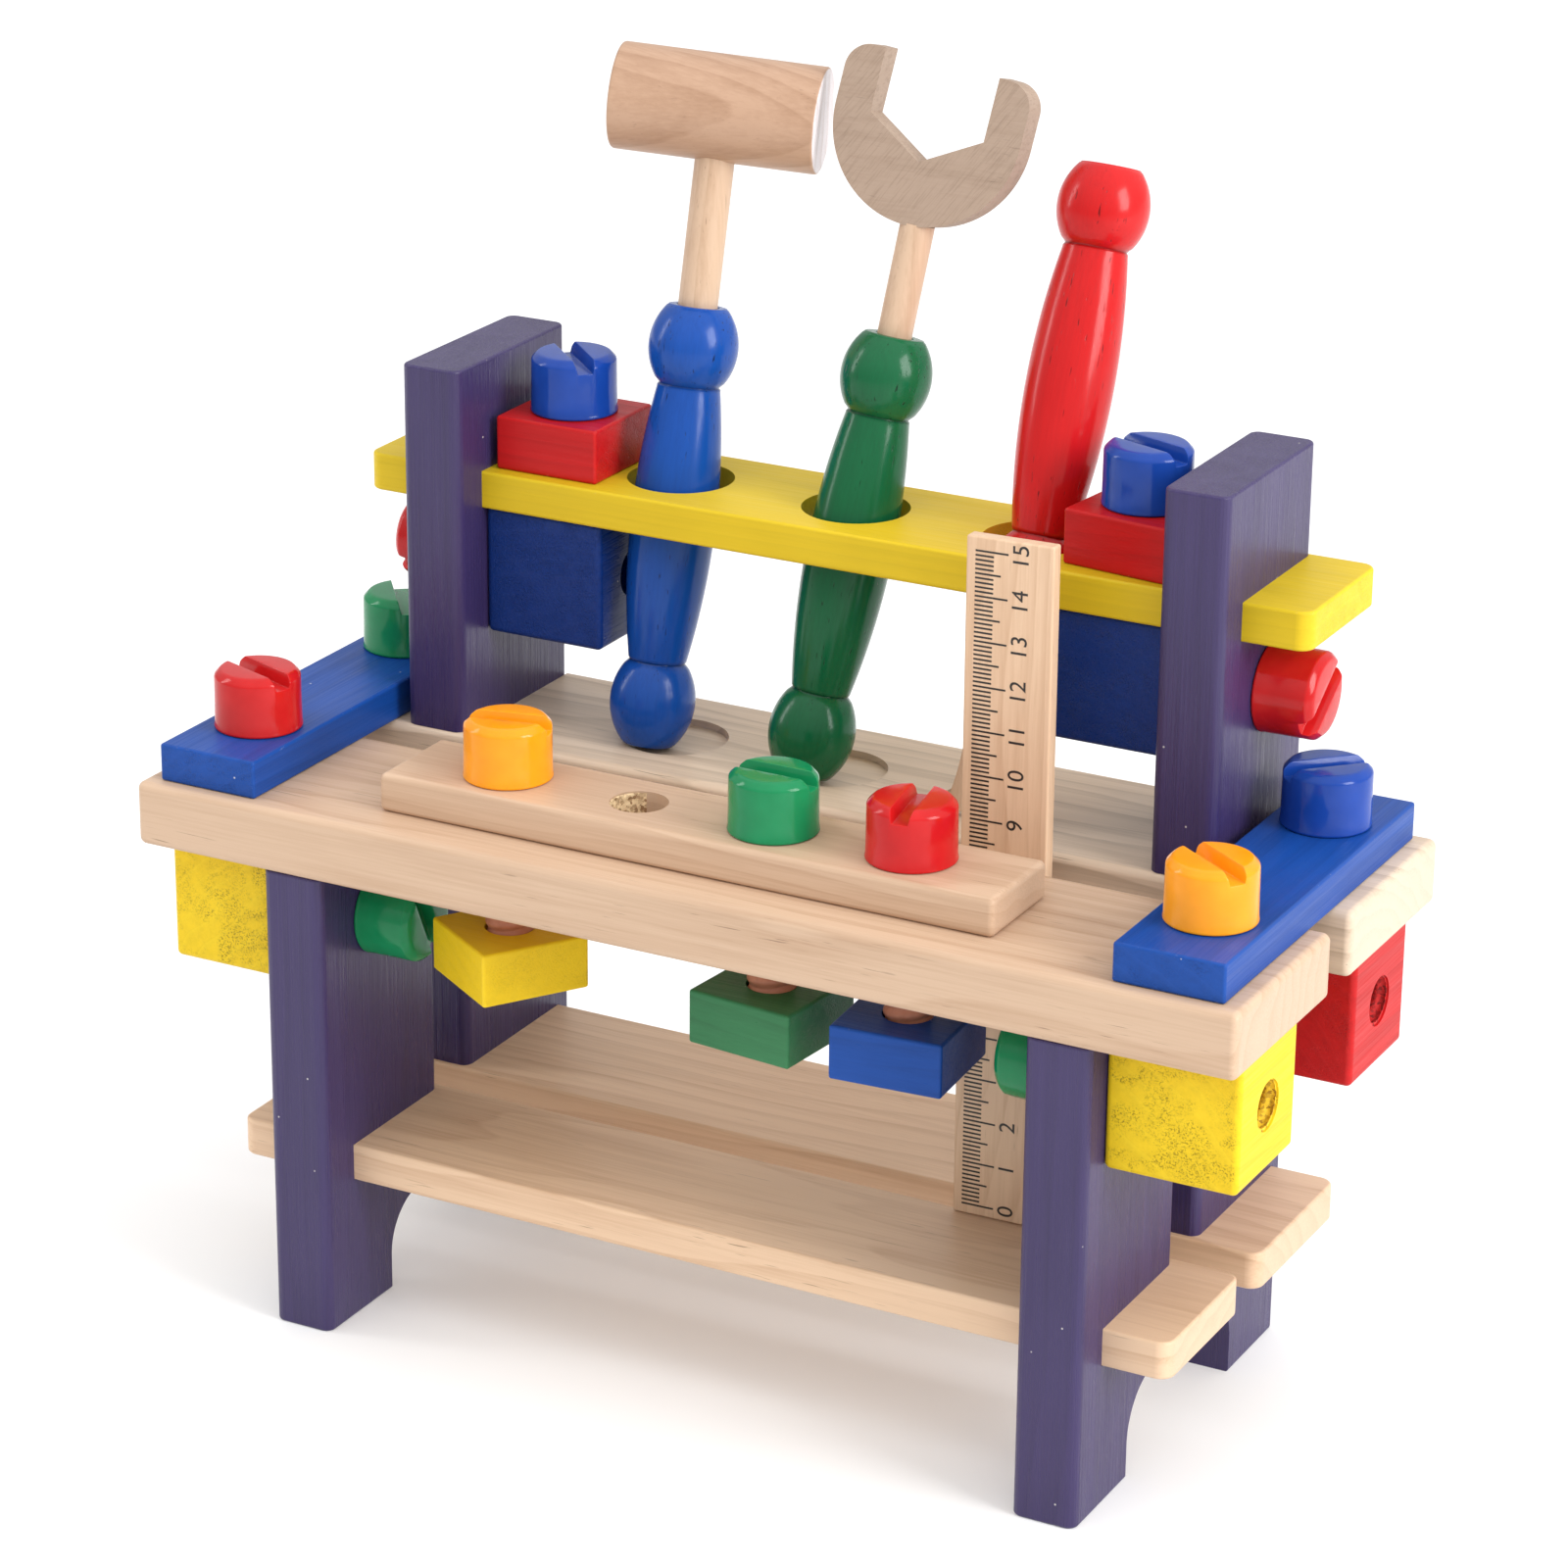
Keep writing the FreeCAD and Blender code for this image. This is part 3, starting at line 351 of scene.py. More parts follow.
def plastic(name, tint):
    """Glossy moulded plastic, faintly see-through, with fine scuffs and a painted highlight on its rims."""
    g = Graph(name)
    place = g.add("ShaderNodeTexCoord").outputs["Object"]
    mottle = g.noise(place, 90.0, 3.0, 0.6)
    scuff = g.noise(g.vector("MULTIPLY", place, (900.0, 2600.0, 900.0)), 1.0, 3.0, 0.7)
    light = tuple(min(1.0, c * 1.06 + 0.003) for c in tint)
    base = g.mix(g.stretch(mottle, 0.35, 0.65), scaled(tint, 0.94), light)
    # Painted highlight: the rims are made paler.
    rim_highlight = edge_mask(g, 0.5 * MM)
    base = g.mix(g.math("MULTIPLY", rim_highlight, 0.35), base, light)
    g.set(Base_Color=base)
    g.set(Roughness=g.stretch(scuff, 0.4, 0.8, 0.12, 0.22))
    g.set(Subsurface_Weight=0.12, Subsurface_Radius=(2.0, 1.0, 0.6), Subsurface_Scale=0.8 * MM)
    g.set(Coat_Weight=0.06, Coat_Roughness=0.05, Specular_IOR_Level=0.25)
    sink = g.noise(place, 120.0, 1.0)
    height = g.math("ADD", g.math("MULTIPLY", sink, 0.5), g.math("MULTIPLY", scuff, 0.03))
    g.set(Normal=g.bump(height, 0.12, 0.3 * MM))
    return g.material


def shank_plastic():
    """Dull salmon plastic of the bolts' shanks."""
    g = Graph("shank_salmon")
    place = g.add("ShaderNodeTexCoord").outputs["Object"]
    mottle = g.noise(place, 220.0, 3.0, 0.6)
    g.set(Base_Color=g.mix(g.stretch(mottle, 0.35, 0.65), *SALMON))
    g.set(Roughness=g.stretch(mottle, 0.3, 0.7, 0.38, 0.52), Specular_IOR_Level=0.45)
    g.set(Normal=g.bump(g.noise(place, 1400.0, 2.0), 0.3, 0.08 * MM))
    return g.material


def torn_wood(name, pale, dark):
    """Rough torn fibres on the wall of a drilled hole."""
    g = Graph(name)
    place = g.add("ShaderNodeTexCoord").outputs["Object"]
    crumb = g.add("ShaderNodeTexVoronoi", {"Vector": place, "Scale": 1500.0}).outputs["Color"]
    shade = g.add("ShaderNodeSeparateColor", {0: crumb}).outputs[0]
    grain = g.noise(place, 2200.0, 2.0, 0.7)
    mixed = g.math("ADD", g.math("MULTIPLY", shade, 0.7), g.math("MULTIPLY", grain, 0.3))
    g.set(Base_Color=g.mix(g.stretch(mixed, 0.2, 0.6), dark, pale))
    g.set(Roughness=g.stretch(grain, 0.3, 0.7, 0.6, 0.85))
    g.set(Normal=g.bump(shade, 0.8, 0.35 * MM))
    return g.material


def ink():
    """Black printing ink that the wood shows through a little."""
    g = Graph("ruler_ink")
    place = g.add("ShaderNodeTexCoord").outputs["Object"]
    wear = g.noise(place, 2500.0, 3.0, 0.7)
    g.set(Base_Color=g.mix(g.stretch(wear, 0.58, 0.8, 0.0, 0.5), *INK))
    g.set(Roughness=g.stretch(wear, 0.3, 0.7, 0.4, 0.6))
    return g.material


# ---------------------------------------------------------------- pieces and meshes

def linked_object(name, data):
    thing = bpy.data.objects.new(name, data)
    bpy.context.scene.collection.objects.link(thing)
    return thing


def mesh_from(name, bm):
    mesh = bpy.data.meshes.new(name)
    bm.to_mesh(mesh)
    bm.free()
    return mesh


def smooth(mesh, sharp_above):
    """Smooth shading, except across edges sharper than this many degrees."""
    mesh.shade_smooth()
    mesh.set_sharp_from_angle(angle=math.radians(sharp_above))


def add_piece(name, mesh, material, body, place=None, node=None):
    """Adds a piece that rides on a body and, if a node is named, stands for it."""
    mesh.materials.clear()
    mesh.materials.append(material)
    piece = linked_object(name, mesh)
    if place:
        piece.matrix_world = place
    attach(piece, body)
    if node:
        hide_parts(node)


def finished_mesh(name, bm, sharp_above=35.0):
    """A smooth-shaded mesh with its faces turned outward."""
    bmesh.ops.recalc_face_normals(bm, faces=bm.faces)
    mesh = mesh_from(name, bm)
    smooth(mesh, sharp_above)
    return mesh


def arc(start, middle, end, steps):
    """Points of the circular arc through three (r, z) points, without its start."""
    (ax, ay), (bx, by), (cx, cy) = start, middle, end
    a, b, c = ax**2 + ay**2, bx**2 + by**2, cx**2 + cy**2
    double = 2 * (ax * (by - cy) + bx * (cy - ay) + cx * (ay - by))
    centre_x = (a * (by - cy) + b * (cy - ay) + c * (ay - by)) / double
    centre_y = (a * (cx - bx) + b * (ax - cx) + c * (bx - ax)) / double
    radius = math.hypot(ax - centre_x, ay - centre_y)
    first, through, last = (math.atan2(y - centre_y, x - centre_x) for x, y in (start, middle, end))
    turn = (last - first) % math.tau
    if (through - first) % math.tau > turn:
        turn -= math.tau
    angles = [first + turn * i / steps for i in range(1, steps + 1)]
    return [(centre_x + radius * math.cos(angle), centre_y + radius * math.sin(angle)) for angle in angles]


def lathe(outline, steps):
    """A closed solid of revolution about Z from (r, z) points in millimetres."""
    bm = bmesh.new()
    loops = []
    for r, z in outline:
        loops.append([bm.verts.new((r * MM * math.cos(math.tau * i / steps),
                                    r * MM * math.sin(math.tau * i / steps), z * MM))
                      for i in range(steps)])
    for low, high in zip(loops, loops[1:]):
        for i in range(steps):
            j = (i + 1) % steps
            bm.faces.new((low[i], low[j], high[j], high[i]))
    bm.faces.new(loops[0][::-1])
    bm.faces.new(loops[-1])
    return bm


def node_points(node):
    return [vertex.co.copy() for vertex in NODES[node].data.vertices]


def tool_frame(node, body):
    """Where a turned piece stands: its foot's middle and its axis, as a matrix."""
    foot_layer = 0.05 * MM
    axis = Vector(JOINTS[body]["axis"]).normalized()
    points = node_points(node)
    low = min(point.dot(axis) for point in points)
    foot = [point for point in points if point.dot(axis) < low + foot_layer]
    middle = sum(foot, Vector()) / len(foot)
    turn = axis.to_track_quat("Z", "Y").to_matrix().to_4x4()
    return Matrix.Translation(middle) @ turn


# ---------------------------------------------------------------- turned handles

ROUND_STEPS = 96            # sides of a turned handle or a bolt's head

# Outline of a handle from its foot up, in millimetres: (radius, height).
FOOT = (5.8, 0.0)
LOW_KNOB = (9.8, 9.75)
LOW_WAIST = (6.6, 19.5)
GRIP = (9.7, 51.25)
HIGH_WAIST = (7.1, 83.0)
HIGH_KNOB = (10.2, 92.0)
TOP = (6.6, 101.0)
CREASE = 0.45               # half the height of the groove at each waist
RIM = 0.5                   # height of the rounding at each end
BORE_SHOWN = 2.5            # how far the shaft's hole is modelled in
HAMMER_BORE = 4.6
WRENCH_BORE = 4.0
SCREWDRIVER_BORE = 4.0


def creased(waist):
    """Points across the narrow groove where two turned curves meet."""
    r, z = waist
    return [(r + 0.12, z - CREASE), (r - 0.16, z - 0.3 * CREASE), (r - 0.22, z),
            (r - 0.16, z + 0.3 * CREASE), (r + 0.10, z + CREASE)]


def without_ends(points, low, high):
    return [point for point in points if low < point[1] < high]


def handle_outline(foot_bore, top_bore):
    """The outline with rounded rims; a bore of None leaves that end closed."""
    gap = 1.6 * CREASE
    top = TOP[1]
    knob = without_ends(arc(FOOT, LOW_KNOB, LOW_WAIST, 28), RIM, LOW_WAIST[1] - gap)
    grip = without_ends(arc(LOW_WAIST, GRIP, HIGH_WAIST, 64), LOW_WAIST[1] + gap, HIGH_WAIST[1] - gap)
    crown = without_ends(arc(HIGH_WAIST, HIGH_KNOB, TOP, 28), HIGH_WAIST[1] + gap, top - RIM)
    foot_rim = [(5.45, 0.0), (5.85, 0.14), (6.05, 0.4)]
    top_rim = [(6.85, top - 0.42), (6.6, top - 0.12), (6.1, top - 0.02)]
    foot_face = [(0.4, 0.0)]
    top_face = [(2.0, top), (0.4, top)]
    if foot_bore:
        foot_face = [(foot_bore, BORE_SHOWN), (foot_bore, 0.3), (foot_bore + 0.3, 0.0)]
    if top_bore:
        top_face = [(top_bore + 0.35, top - 0.1), (top_bore, top - RIM), (top_bore, top - BORE_SHOWN)]
    return (foot_face + foot_rim + knob + creased(LOW_WAIST) + grip + creased(HIGH_WAIST)
            + crown + top_rim + top_face)


def turned_handle(body, tint, foot_bore=None, top_bore=None):
    """A tool's handle, with its creases marked for the lacquer's painted shade."""
    node = body + "_handle"
    bm = lathe(handle_outline(foot_bore, top_bore), ROUND_STEPS)
    # Marks how near each point is to a crease, for the lacquer's painted shade.
    crease_shade = bm.verts.layers.float.new("crease_shade")
    for vert in bm.verts:
        height = vert.co.z / MM
        away = min(abs(height - LOW_WAIST[1]), abs(height - HIGH_WAIST[1]))
        vert[crease_shade] = max(0.0, 1.0 - away / (1.3 * CREASE))
    name = node + "_turned"
    grain_shift = (31.0 * len(body), 7.0, 3.0)
    add_piece(name, finished_mesh(name, bm), lacquer("lacquer_" + body, tint, grain_shift), body,
              place=tool_frame(node, body), node=node)


# ---------------------------------------------------------------- bolts

HEAD_HEIGHT = 13.8
LONG_SHANK = 45.0
SHORT_SHANK = 22.0
SHANK_RADIUS = 5.5
THREAD_PITCH = 3.0
THREAD_DEPTH = 0.65

# A head's outline from its underside up: (radius, height).
HEAD_FLANGE = [(6.2, 0.25), (9.6, 0.1), (9.95, 0.22), (10.0, 0.5), (9.95, 0.8), (9.85, 1.05)]
HEAD_SIDE = [(9.80, 6.0), (9.74, 11.9)]
HEAD_RIM = [(9.66, 12.25), (9.42, 12.62), (8.75, 13.30), (8.45, 13.58), (8.05, 13.74)]
HEAD_FACE = [(7.6, HEAD_HEIGHT), (4.0, HEAD_HEIGHT), (0.5, HEAD_HEIGHT)]

# Which way each slot points, in degrees about the bolt's own axis.
SLOT_TURNS = {
    "left_front_table_bolt": -20.0, "left_rear_table_bolt": -52.0,
    "right_front_table_bolt": -35.0, "right_rear_table_bolt": 46.0,
    "orange_strip_bolt": 13.0, "green_strip_bolt": 0.0, "red_strip_bolt": 100.0,
    "left_rack_bolt": -44.0, "right_rack_bolt": -19.0,
    "left_upright_bolt": 60.0, "right_upright_bolt": 124.0,
    "left_front_leg_bolt": 25.0, "right_front_leg_bolt": 25.0,
    "left_rear_leg_bolt": 25.0, "right_rear_leg_bolt": 25.0,
}


def slot_cutter():
    """A long prism with sloping sides, narrower at its floor."""
    floor, mouth, depth, half_length = 1.75, 2.45, 3.0, 14.0
    top = HEAD_HEIGHT + 1.0
    wide = mouth + (mouth - floor) / depth
    section = [(-floor, HEAD_HEIGHT - depth), (floor, HEAD_HEIGHT - depth), (wide, top), (-wide, top)]
    bm = bmesh.new()
    ends = [[bm.verts.new((x * MM, y * MM, z * MM)) for y, z in section]
            for x in (-half_length, half_length)]
    bm.faces.new(ends[0])
    bm.faces.new(ends[1][::-1])
    for i in range(4):
        j = (i + 1) % 4
        bm.faces.new((ends[0][i], ends[1][i], ends[1][j], ends[0][j]))
    bmesh.ops.recalc_face_normals(bm, faces=bm.faces)
    return bm


def bolt_head_mesh():
    """A moulded head: a faint flange, straight side, bevelled rim and a driver slot."""
    outline = HEAD_FLANGE + HEAD_SIDE + HEAD_RIM + HEAD_FACE
    drum = linked_object("head_template", mesh_from("head_template", lathe(outline, ROUND_STEPS)))
    cutter = linked_object("slot_template", mesh_from("slot_template", slot_cutter()))
    slot = drum.modifiers.new("slot", "BOOLEAN")
    slot.operation = "DIFFERENCE"
    slot.solver = "EXACT"
    slot.object = cutter
    soften = drum.modifiers.new("soften", "BEVEL")
    soften.width = 0.28 * MM
    soften.segments = 3
    soften.limit_method = "ANGLE"
    soften.angle_limit = math.radians(28)
    bpy.context.view_layer.update()
    baked = bpy.data.meshes.new_from_object(drum.evaluated_get(bpy.context.evaluated_depsgraph_get()))
    for thing in (drum, cutter):
        bpy.data.objects.remove(thing)
    smooth(baked, 40)
    return baked


def shank_mesh(length):
    """A threaded shank hanging below z = 0, with a plain neck under the head."""
    steps_round, step_down, neck, taper = 40, 0.3, 4.0, 1.2
    bm = bmesh.new()
    loops = []
    count = round(length / step_down)
    for row in range(count + 1):
        depth = row * step_down
        loop = []
        for i in range(steps_round):
            turn = i / steps_round
            wave = 0.5 + 0.5 * math.cos(math.tau * (depth / THREAD_PITCH + turn))
            groove = THREAD_DEPTH * (1.0 - wave ** 0.7)
            groove *= min(1.0, max(0.0, (depth - neck) / THREAD_PITCH))
            radius = SHANK_RADIUS - groove - max(0.0, depth - length + taper) * 0.5
            loop.append(bm.verts.new((radius * MM * math.cos(math.tau * turn),
                                      radius * MM * math.sin(math.tau * turn), -depth * MM)))
        loops.append(loop)
    for high, low in zip(loops, loops[1:]):
        for i in range(steps_round):
            j = (i + 1) % steps_round
            bm.faces.new((low[i], low[j], high[j], high[i]))
    bm.faces.new(loops[0])
    bm.faces.new(loops[-1][::-1])
    return finished_mesh(f"shank_{length:.0f}", bm, sharp_above=50)


def bolts():
    """Every bolt: a head that stands for the CAD bolt, and its threaded shank."""
    head = bolt_head_mesh()
    shanks = {length: shank_mesh(length) for length in (LONG_SHANK, SHORT_SHANK)}
    finishes = {slot: plastic(slot + "_moulded", tint) for slot, tint in BOLT_TINTS.items()}
    salmon = shank_plastic()
    for node, turn in SLOT_TURNS.items():
        joint = JOINTS[node]
        axis = Vector(joint["axis"])
        aim = Vector((0, 0, 1)).rotation_difference(axis).to_matrix().to_4x4()
        spin = Matrix.Rotation(math.radians(turn), 4, "Z")
        place = Matrix.Translation(joint["pos_m"]) @ aim @ spin
        short = node.endswith(("leg_bolt", "upright_bolt"))
        slot = SLOTS[node]
        add_piece(node + "_head", head.copy(), finishes[slot], node, place, node)
        shank = shanks[SHORT_SHANK if short else LONG_SHANK]
        add_piece(node + "_shank", shank.copy(), salmon, node, place)


# ---------------------------------------------------------------- the ruler's print

TICK_EDGE = 2.2             # from the ruler's left edge to the marks
TICK_LENGTHS = {"centimetre": 7.7, "half": 6.0, "millimetre": 4.3}
TICK_WIDTH = 0.42
ZERO_MARK = 2.4             # from the ruler's foot to the mark 0
RULER_REACH = 15            # the last mark, in centimetres
NUMERAL_LINE = 13.0         # from the left edge to the middle of the figures
NUMERAL_HEIGHT = 3.7
FIGURE_SHARE = 0.69         # a figure's height as a share of the font's size
INK_THICKNESS = 0.03
INK_SUNK = 0.02             # how far the ink reaches into the wood


def ruler_frame():
    """The ruler's lower left front corner, and its own directions."""
    up = Vector(JOINTS["ruler"]["axis"]).normalized()
    right = (Vector((1, 0, 0)) - up * up.x).normalized()
    out = right.cross(up)
    points = node_points("ruler")
    corner = right * min(point.dot(right) for point in points)
    corner += up * min(point.dot(up) for point in points)
    corner += out * max(point.dot(out) for point in points)
    return corner, right, up, out


def ruler_ticks(corner, right, up, out, material):
    """A thin bar of ink at every millimetre, longer at each five and ten."""
    bm = bmesh.new()
    for mark in range(10 * RULER_REACH + 1):
        kind = "centimetre" if mark % 10 == 0 else "half" if mark % 5 == 0 else "millimetre"
        left, span = TICK_EDGE, TICK_LENGTHS[kind]
        low, high = (ZERO_MARK + mark + half for half in (-TICK_WIDTH / 2, TICK_WIDTH / 2))
        corners = [(left, low), (left + span, low), (left + span, high), (left, high)]
        back, front = ([bm.verts.new(corner + (right * x + up * z + out * lift) * MM) for x, z in corners]
                       for lift in (-INK_SUNK, INK_THICKNESS))
        bm.faces.new(back[::-1])
        bm.faces.new(front)
        for i in range(4):
            j = (i + 1) % 4
            bm.faces.new((back[i], back[j], front[j], front[i]))
    add_piece("ruler_ticks", finished_mesh("ruler_ticks", bm), material, "ruler")


def ruler_numerals(corner, right, up, out, material):
    """Figures 0 to 15 that read upward along the ruler, one at each centimetre mark."""
    reading = Matrix((up, -right, out)).transposed().to_4x4()
    for number in range(RULER_REACH + 1):
        name = f"ruler_numeral_{number}"
        text = bpy.data.curves.new(name, "FONT")
        text.body = str(number)
        text.size = NUMERAL_HEIGHT / FIGURE_SHARE * MM
        text.align_x = "CENTER"
        text.align_y = "CENTER"
        text.extrude = INK_THICKNESS / 2 * MM
        drawn = linked_object(f"numeral_{number}_text", text)
        bpy.context.view_layer.update()
        mesh = bpy.data.meshes.new_from_object(drawn)
        bpy.data.objects.remove(drawn)
        middle = corner + (right * NUMERAL_LINE + up * (ZERO_MARK + 10 * number)
                           + out * (INK_THICKNESS / 2)) * MM
        add_piece(name, mesh, material, "ruler", place=Matrix.Translation(middle) @ reading)


def ruler_print():
    corner, right, up, out = ruler_frame()
    material = ink()
    ruler_ticks(corner, right, up, out, material)
    ruler_numerals(corner, right, up, out, material)


# ---------------------------------------------------------------- rough walls of drilled holes

SPARE_RADIUS = 6.5          # of the empty hole in the four-hole strip
SPARE_LENGTH = 8.4          # how far down the torn fibres reach
SPARE_INSET = 0.4           # from the strip's top to the torn fibres
SIDE_RADIUS = 5.7           # of the blocks' threaded side holes and the bolt's hole across them
SIDE_INSET = 0.5            # from the block's face to the lining
SIDE_SHORTFALL = 0.7        # how much shorter than its hole the lining is
LINING_GRID = 0.45
WALL_GAP = 0.02             # between the hole's wall and a lining's back
LEAST_WALL = 0.06           # from the hole's wall to the thinnest part of a lining's front


def lining(name, place, radius, length, material, rough, ridges=0.0, span=(0.0, 360.0)):
    """A thin rough shell against a hole's wall; place's Z axis points out of the hole."""
    first, turned = math.radians(span[0]), math.radians(span[1] - span[0])
    full = span[1] - span[0] == 360
    columns = round(turned * radius / LINING_GRID)
    lines = columns if full else columns + 1
    rows = round(length / LINING_GRID)
    bm = bmesh.new()
    shell = []
    for row in range(rows + 1):
        depth = length * row / rows
        line = []
        for column in range(lines):
            turn = first + turned * column / columns
            fade = 1.0 if full else min(1.0, 4.0 * min(column, columns - column) / columns)
            wave = 0.5 + 0.5 * math.cos(math.tau * depth / THREAD_PITCH + turn)
            inner = radius - LEAST_WALL - fade * (ridges * wave + rough * random.random())
            line.append([bm.verts.new((r * MM * math.cos(turn), r * MM * math.sin(turn), -depth * MM))
                         for r in (radius - WALL_GAP, inner)])
        shell.append(line)
    pairs = [(column, (column + 1) % lines) for column in range(columns)]
    for high, low in zip(shell, shell[1:]):
        for i, j in pairs:
            for side in (0, 1):
                bm.faces.new((high[i][side], high[j][side], low[j][side], low[i][side]))
        if not full:
            for i in (0, columns):
                bm.faces.new((high[i][0], high[i][1], low[i][1], low[i][0]))
    for line in (shell[0], shell[-1]):
        for i, j in pairs:
            bm.faces.new((line[i][0], line[i][1], line[j][1], line[j][0]))
    add_piece(name, finished_mesh(name, bm, sharp_above=80), material, "bench", place=place)


def hole_linings():
    """Torn fibres in the empty strip hole, and rough threads in the outer block holes."""
    cream = torn_wood("torn_pine", *TORN_PINE)
    spare = next(mount for mount in frame["record"]["mounts"] if mount["name"] == "spare_hole")
    x, y, _ = spare["pos_m"]
    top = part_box("hole_strip")[1].z
    lining("spare_hole_fibres", Matrix.Translation((x, y, top - SPARE_INSET * MM)), SPARE_RADIUS,
           SPARE_LENGTH, cream, rough=0.5, span=(105.0, 225.0))
    walls = {"front_block": torn_wood("torn_yellow", *TORN_YELLOW),
             "rear_block": torn_wood("torn_red", *TORN_RED)}
    for side, sign in (("left", -1), ("right", 1)):
        for piece, material in walls.items():
            low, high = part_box(f"{side}_{piece}")
            middle = (low + high) / 2
            face = high.x if sign > 0 else low.x
            bolt = Vector(JOINTS[f"{side}_{piece.replace('block', 'table_bolt')}"]["pos_m"])
            depth = abs(face - bolt.x) / MM - SIDE_RADIUS
            place = Matrix.Translation((face - sign * SIDE_INSET * MM, middle.y, middle.z))
            place = place @ Matrix.Rotation(sign * math.radians(90), 4, "Y")
            lining(f"{side}_{piece}_thread", place, SIDE_RADIUS, depth - SIDE_SHORTFALL, material,
                   rough=0.3, ridges=0.5)


# ---------------------------------------------------------------- finishes of the CAD pieces

def dress(node, material):
    """Gives a CAD piece its material."""
    mesh = NODES[node].data
    mesh.materials.clear()
    mesh.materials.append(material)


def dress_bare_wood():
    """Each bare piece: its grain's direction, tint, place in the log, and own settings."""
    looks = {
        "front_table_plank": ("x", PINE, (20.0, 0.0, 0.0), {"heart": (90.0, 60.0), "spacing": 5.0}),
        "rear_table_plank": ("x", GREY_PINE, (310.0, 40.0, 9.0),
                             {"heart": (30.0, 70.0), "contrast": 0.55, "end_rings": 0.15}),
        "front_shelf": ("x", PALE_PINE, (610.0, 12.0, 40.0), {"heart": (25.0, -60.0), "spacing": 4.0}),
        "rear_shelf": ("x", PALE_PINE, (910.0, 80.0, 3.0), {"heart": (-30.0, -75.0), "spacing": 5.5}),
        "hole_strip": ("x", PINE, (1210.0, 5.0, 70.0), {"heart": (-60.0, 90.0), "contrast": 0.35}),
        "ruler": ("z", PALE_PINE, (40.0, 33.0, 8.0), {"heart": (50.0, 40.0), "spacing": 3.5}),
        "hammer_shaft": ("z", PINE, (210.0, 3.0, 6.0), {"contrast": 0.3}),
        "wrench_shaft": ("z", PINE, (420.0, 9.0, 1.0), {"contrast": 0.3}),
        "screwdriver_blade": ("z", PINE, (620.0, 9.0, 21.0), {"contrast": 0.4}),
        # The hammer head's cut ends get a near-white colour: painted light.
        "hammer_head": ("x", HAMMER_BEECH, (70.0, 0.0, 5.0),
                        {"heart": (-16.0, 255.0), "spacing": 5.5, "wander": 30.0, "dashes": 0.3,
                         "contrast": 0.42, "ends": HAMMER_LIT_ENDS}),
        "wrench_head": ("x", WRENCH_BEECH, (5.0, 60.0, 0.0),
                        {"heart": (200.0, 60.0), "roughness": 0.65, "dashes": 0.35, "contrast": 0.12,
                         "hatch": 0.5}),
    }
    for node, (along, (pale, dark), shift, settings) in looks.items():
        dress(node, bare_wood("wood_" + node, along, pale, dark, shift, **settings))


def dress_paint():
    """Each painted piece: its grain's direction, tint and own settings."""
    looks = {
        "front_leg": ("z", PURPLE, {"show": 0.3, "streaks": 1.6, "roughness": 0.3, "shine": 0.42}),
        "tall_board": ("z", PURPLE, {"show": 0.3, "streaks": 1.6, "roughness": 0.3, "shine": 0.42}),
        "end_strip": ("y", BLUE, {"show": 0.35, "roughness": 0.36}),
        "front_block": ("y", BLOCK_YELLOW, {"show": 0.25, "pits": 0.95, "roughness": 0.45}),
        "rear_block": ("y", RED, {"show": 0.35, "roughness": 0.42}),
        "rack_block": ("y", RACK_BLUE, {"show": 0.35, "streaks": 1.2, "roughness": 0.3}),
        "rack_nut": ("x", RED, {"show": 0.3, "roughness": 0.36}),
    }
    for side in ("left", "right"):
        for piece, (along, tint, settings) in looks.items():
            node = f"{side}_{piece}"
            low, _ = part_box(node)
            shift = (low.x / MM * 3, low.z / MM + 11.0, 17.0)
            dress(node, paint("paint_" + node, along, tint, shift, **settings))
    dress("rack_bar", paint("paint_rack_bar", "x", RACK_YELLOW, (9.0, 4.0, 2.0), show=0.16,
                            roughness=0.42, streaks=0.3))
    for node, tint, show in (("yellow_nut", BLOCK_YELLOW, 0.12), ("green_nut", GREEN, 0.35),
                             ("blue_nut", BLUE, 0.35)):
        dress(node, paint("paint_" + node, "x", tint, (len(node) * 9.0, 5.0, 2.0), show=show))


# ---------------------------------------------------------------- floor, lights and camera

FLOOR_REACH = 9.0           # metres from the middle of the floor to its edges
LIGHT_AIM = Vector((0, 0, 0.12))


def stage():
    """A wide white floor that glows a little, so that it stays white behind the bench."""
    bm = bmesh.new()
    bmesh.ops.create_grid(bm, x_segments=1, y_segments=1, size=FLOOR_REACH)
    mesh = mesh_from("floor", bm)
    floor = linked_object("floor", mesh)
    g = Graph("floor_white")
    place = g.add("ShaderNodeTexCoord").outputs["Object"]
    g.set(Base_Color=g.mix(g.noise(place, 4.0), *FLOOR_WHITE))
    g.set(Roughness=0.9, Specular_IOR_Level=0.1)
    g.set(Emission_Color=(1.0, 1.0, 1.0), Emission_Strength=0.16)
    mesh.materials.append(g.material)


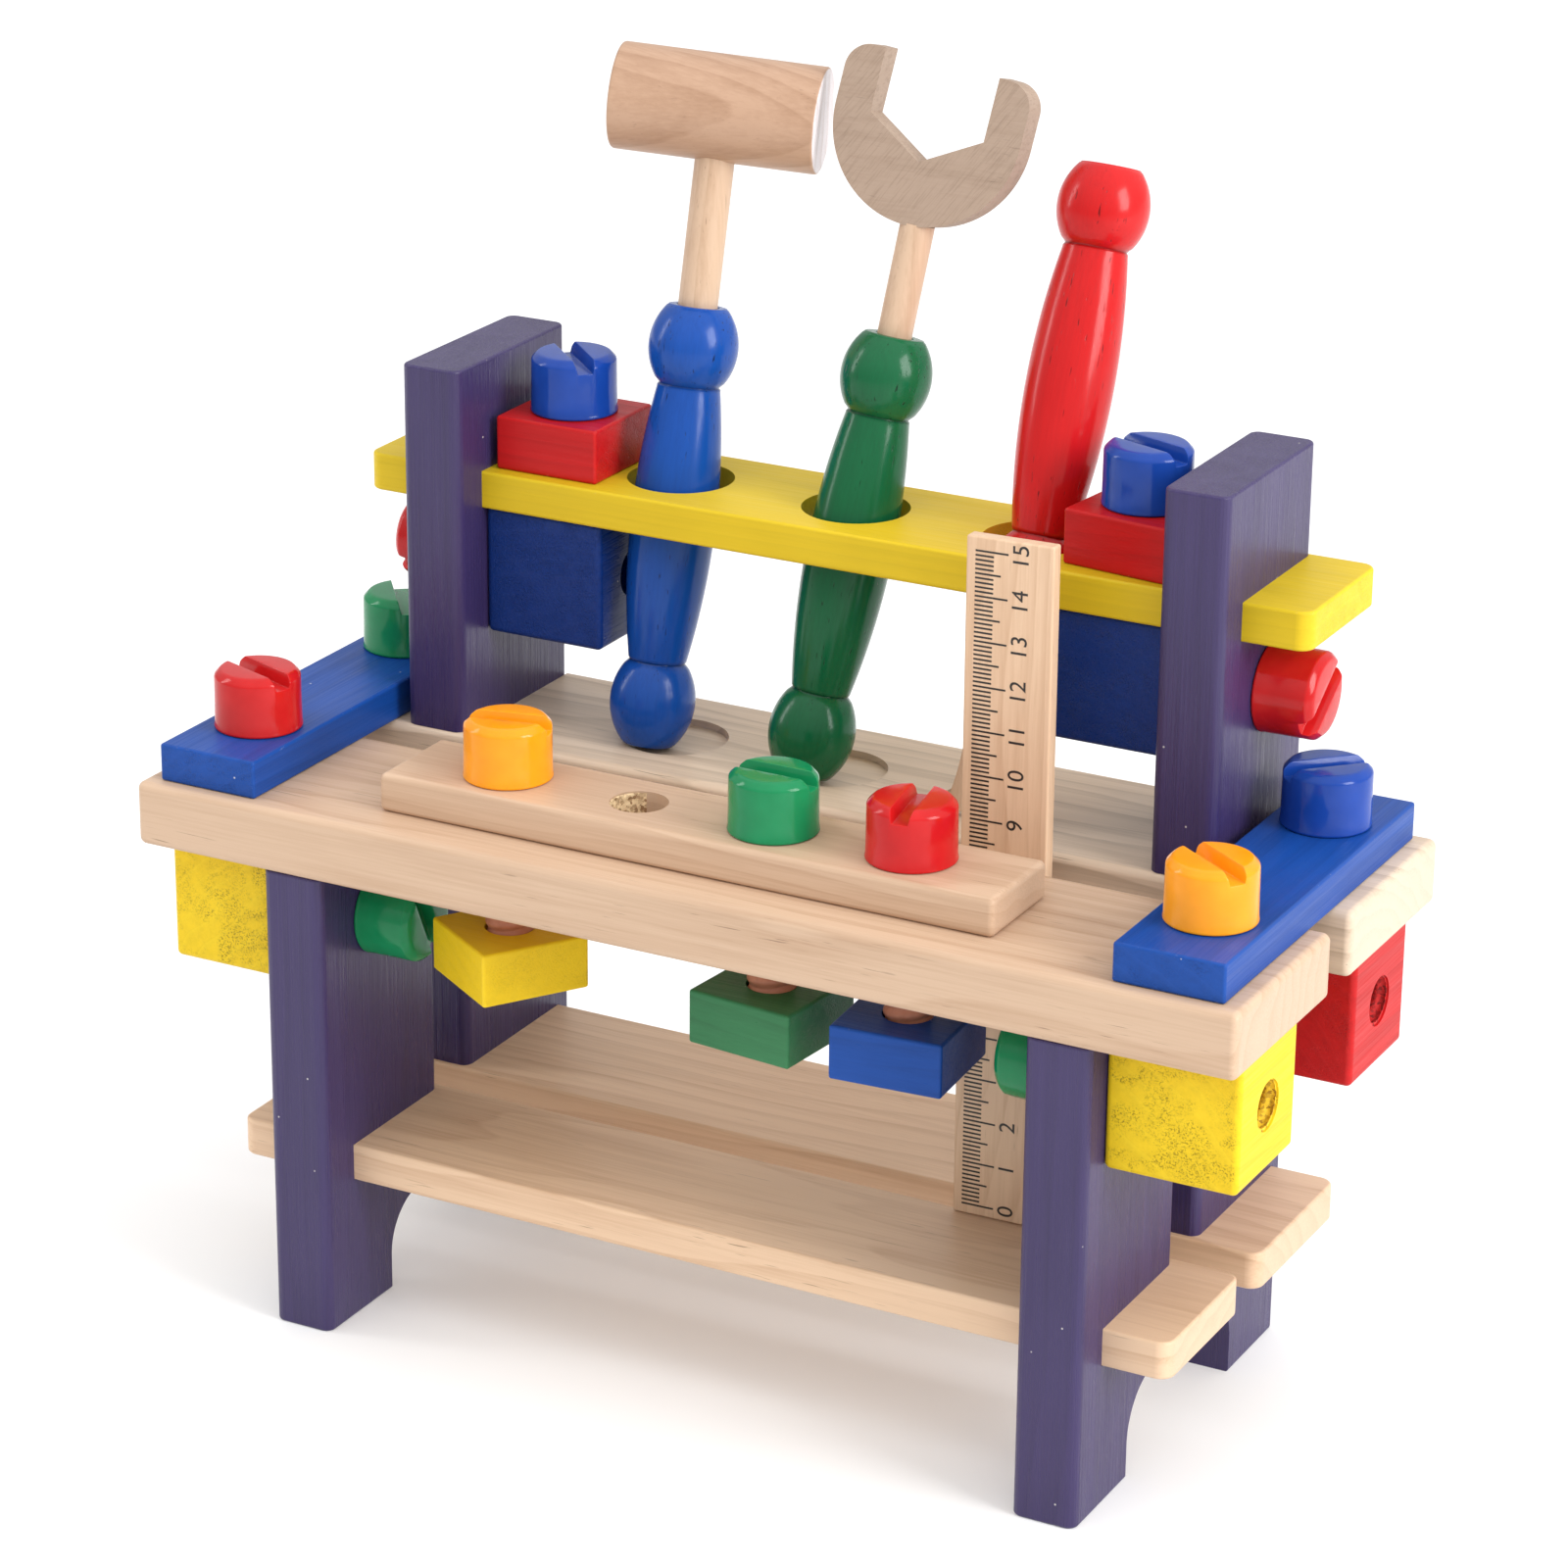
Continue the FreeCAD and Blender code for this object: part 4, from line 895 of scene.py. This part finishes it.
def light_tent():
    """White surroundings, brighter straight above and on the right."""
    world = bpy.data.worlds.new("light_tent")
    world.use_nodes = True
    nodes, links = world.node_tree.nodes, world.node_tree.links
    direction = nodes.new("ShaderNodeTexCoord").outputs["Generated"]
    apart = nodes.new("ShaderNodeSeparateXYZ")
    links.new(direction, apart.inputs[0])
    above = nodes.new("ShaderNodeMapRange")
    above.inputs["From Min"].default_value = 0.1
    above.inputs["To Min"].default_value = 0.64
    above.inputs["To Max"].default_value = 1.55
    links.new(apart.outputs["Z"], above.inputs["Value"])
    sideways = nodes.new("ShaderNodeMath")
    sideways.operation = "MULTIPLY_ADD"
    sideways.inputs[1].default_value = 0.12
    links.new(apart.outputs["X"], sideways.inputs[0])
    links.new(above.outputs["Result"], sideways.inputs[2])
    links.new(sideways.outputs[0], nodes["Background"].inputs["Strength"])
    nodes["Background"].inputs["Color"].default_value = (1.0, 1.0, 1.0, 1.0)
    bpy.context.scene.world = world


def softbox(name, place, size, power):
    """A rectangular studio light that points at the bench; metres and watts."""
    lamp = bpy.data.lights.new(name, "AREA")
    lamp.shape = "RECTANGLE"
    lamp.size, lamp.size_y = size
    lamp.energy = power
    light = linked_object(name, lamp)
    light.location = place
    light.rotation_euler = (LIGHT_AIM - Vector(place)).to_track_quat("-Z", "Y").to_euler()


def gap_middle():
    """y of the middle of the slot between the two table planks."""
    return (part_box("front_table_plank")[1].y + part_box("rear_table_plank")[0].y) / 2


def camera():
    """Three-quarter view from the front right, a little above the bench."""
    azimuth, elevation, roll = (math.radians(a) for a in (27.85, 20.97, 0.55))
    distance = 1.08259
    target = Vector((0.00042, gap_middle() + 0.00123, 0.13217))
    outward = Vector((math.sin(azimuth) * math.cos(elevation),
                      -math.cos(azimuth) * math.cos(elevation), math.sin(elevation)))
    lens = bpy.data.cameras.new("camera")
    lens.sensor_width = 36.0
    lens.lens = 112.68
    eye = linked_object("camera", lens)
    turn = outward.to_track_quat("Z", "Y").to_matrix().to_4x4()
    eye.matrix_world = Matrix.Translation(target + outward * distance) @ turn @ Matrix.Rotation(roll, 4, "Z")
    bpy.context.scene.camera = eye


turned_handle("hammer", HANDLE_BLUE, top_bore=HAMMER_BORE)
turned_handle("wrench", HANDLE_GREEN, top_bore=WRENCH_BORE)
turned_handle("screwdriver", HANDLE_RED, foot_bore=SCREWDRIVER_BORE)
bolts()
ruler_print()
hole_linings()
dress_bare_wood()
dress_paint()
stage()
light_tent()
softbox("key", (1.36, -0.20, 0.78), (0.6, 0.9), 16.0)
softbox("fill", (-1.35, -0.42, 0.75), (0.25, 0.9), 4.0)
camera()

bpy.context.scene.view_settings.view_transform = "Standard"
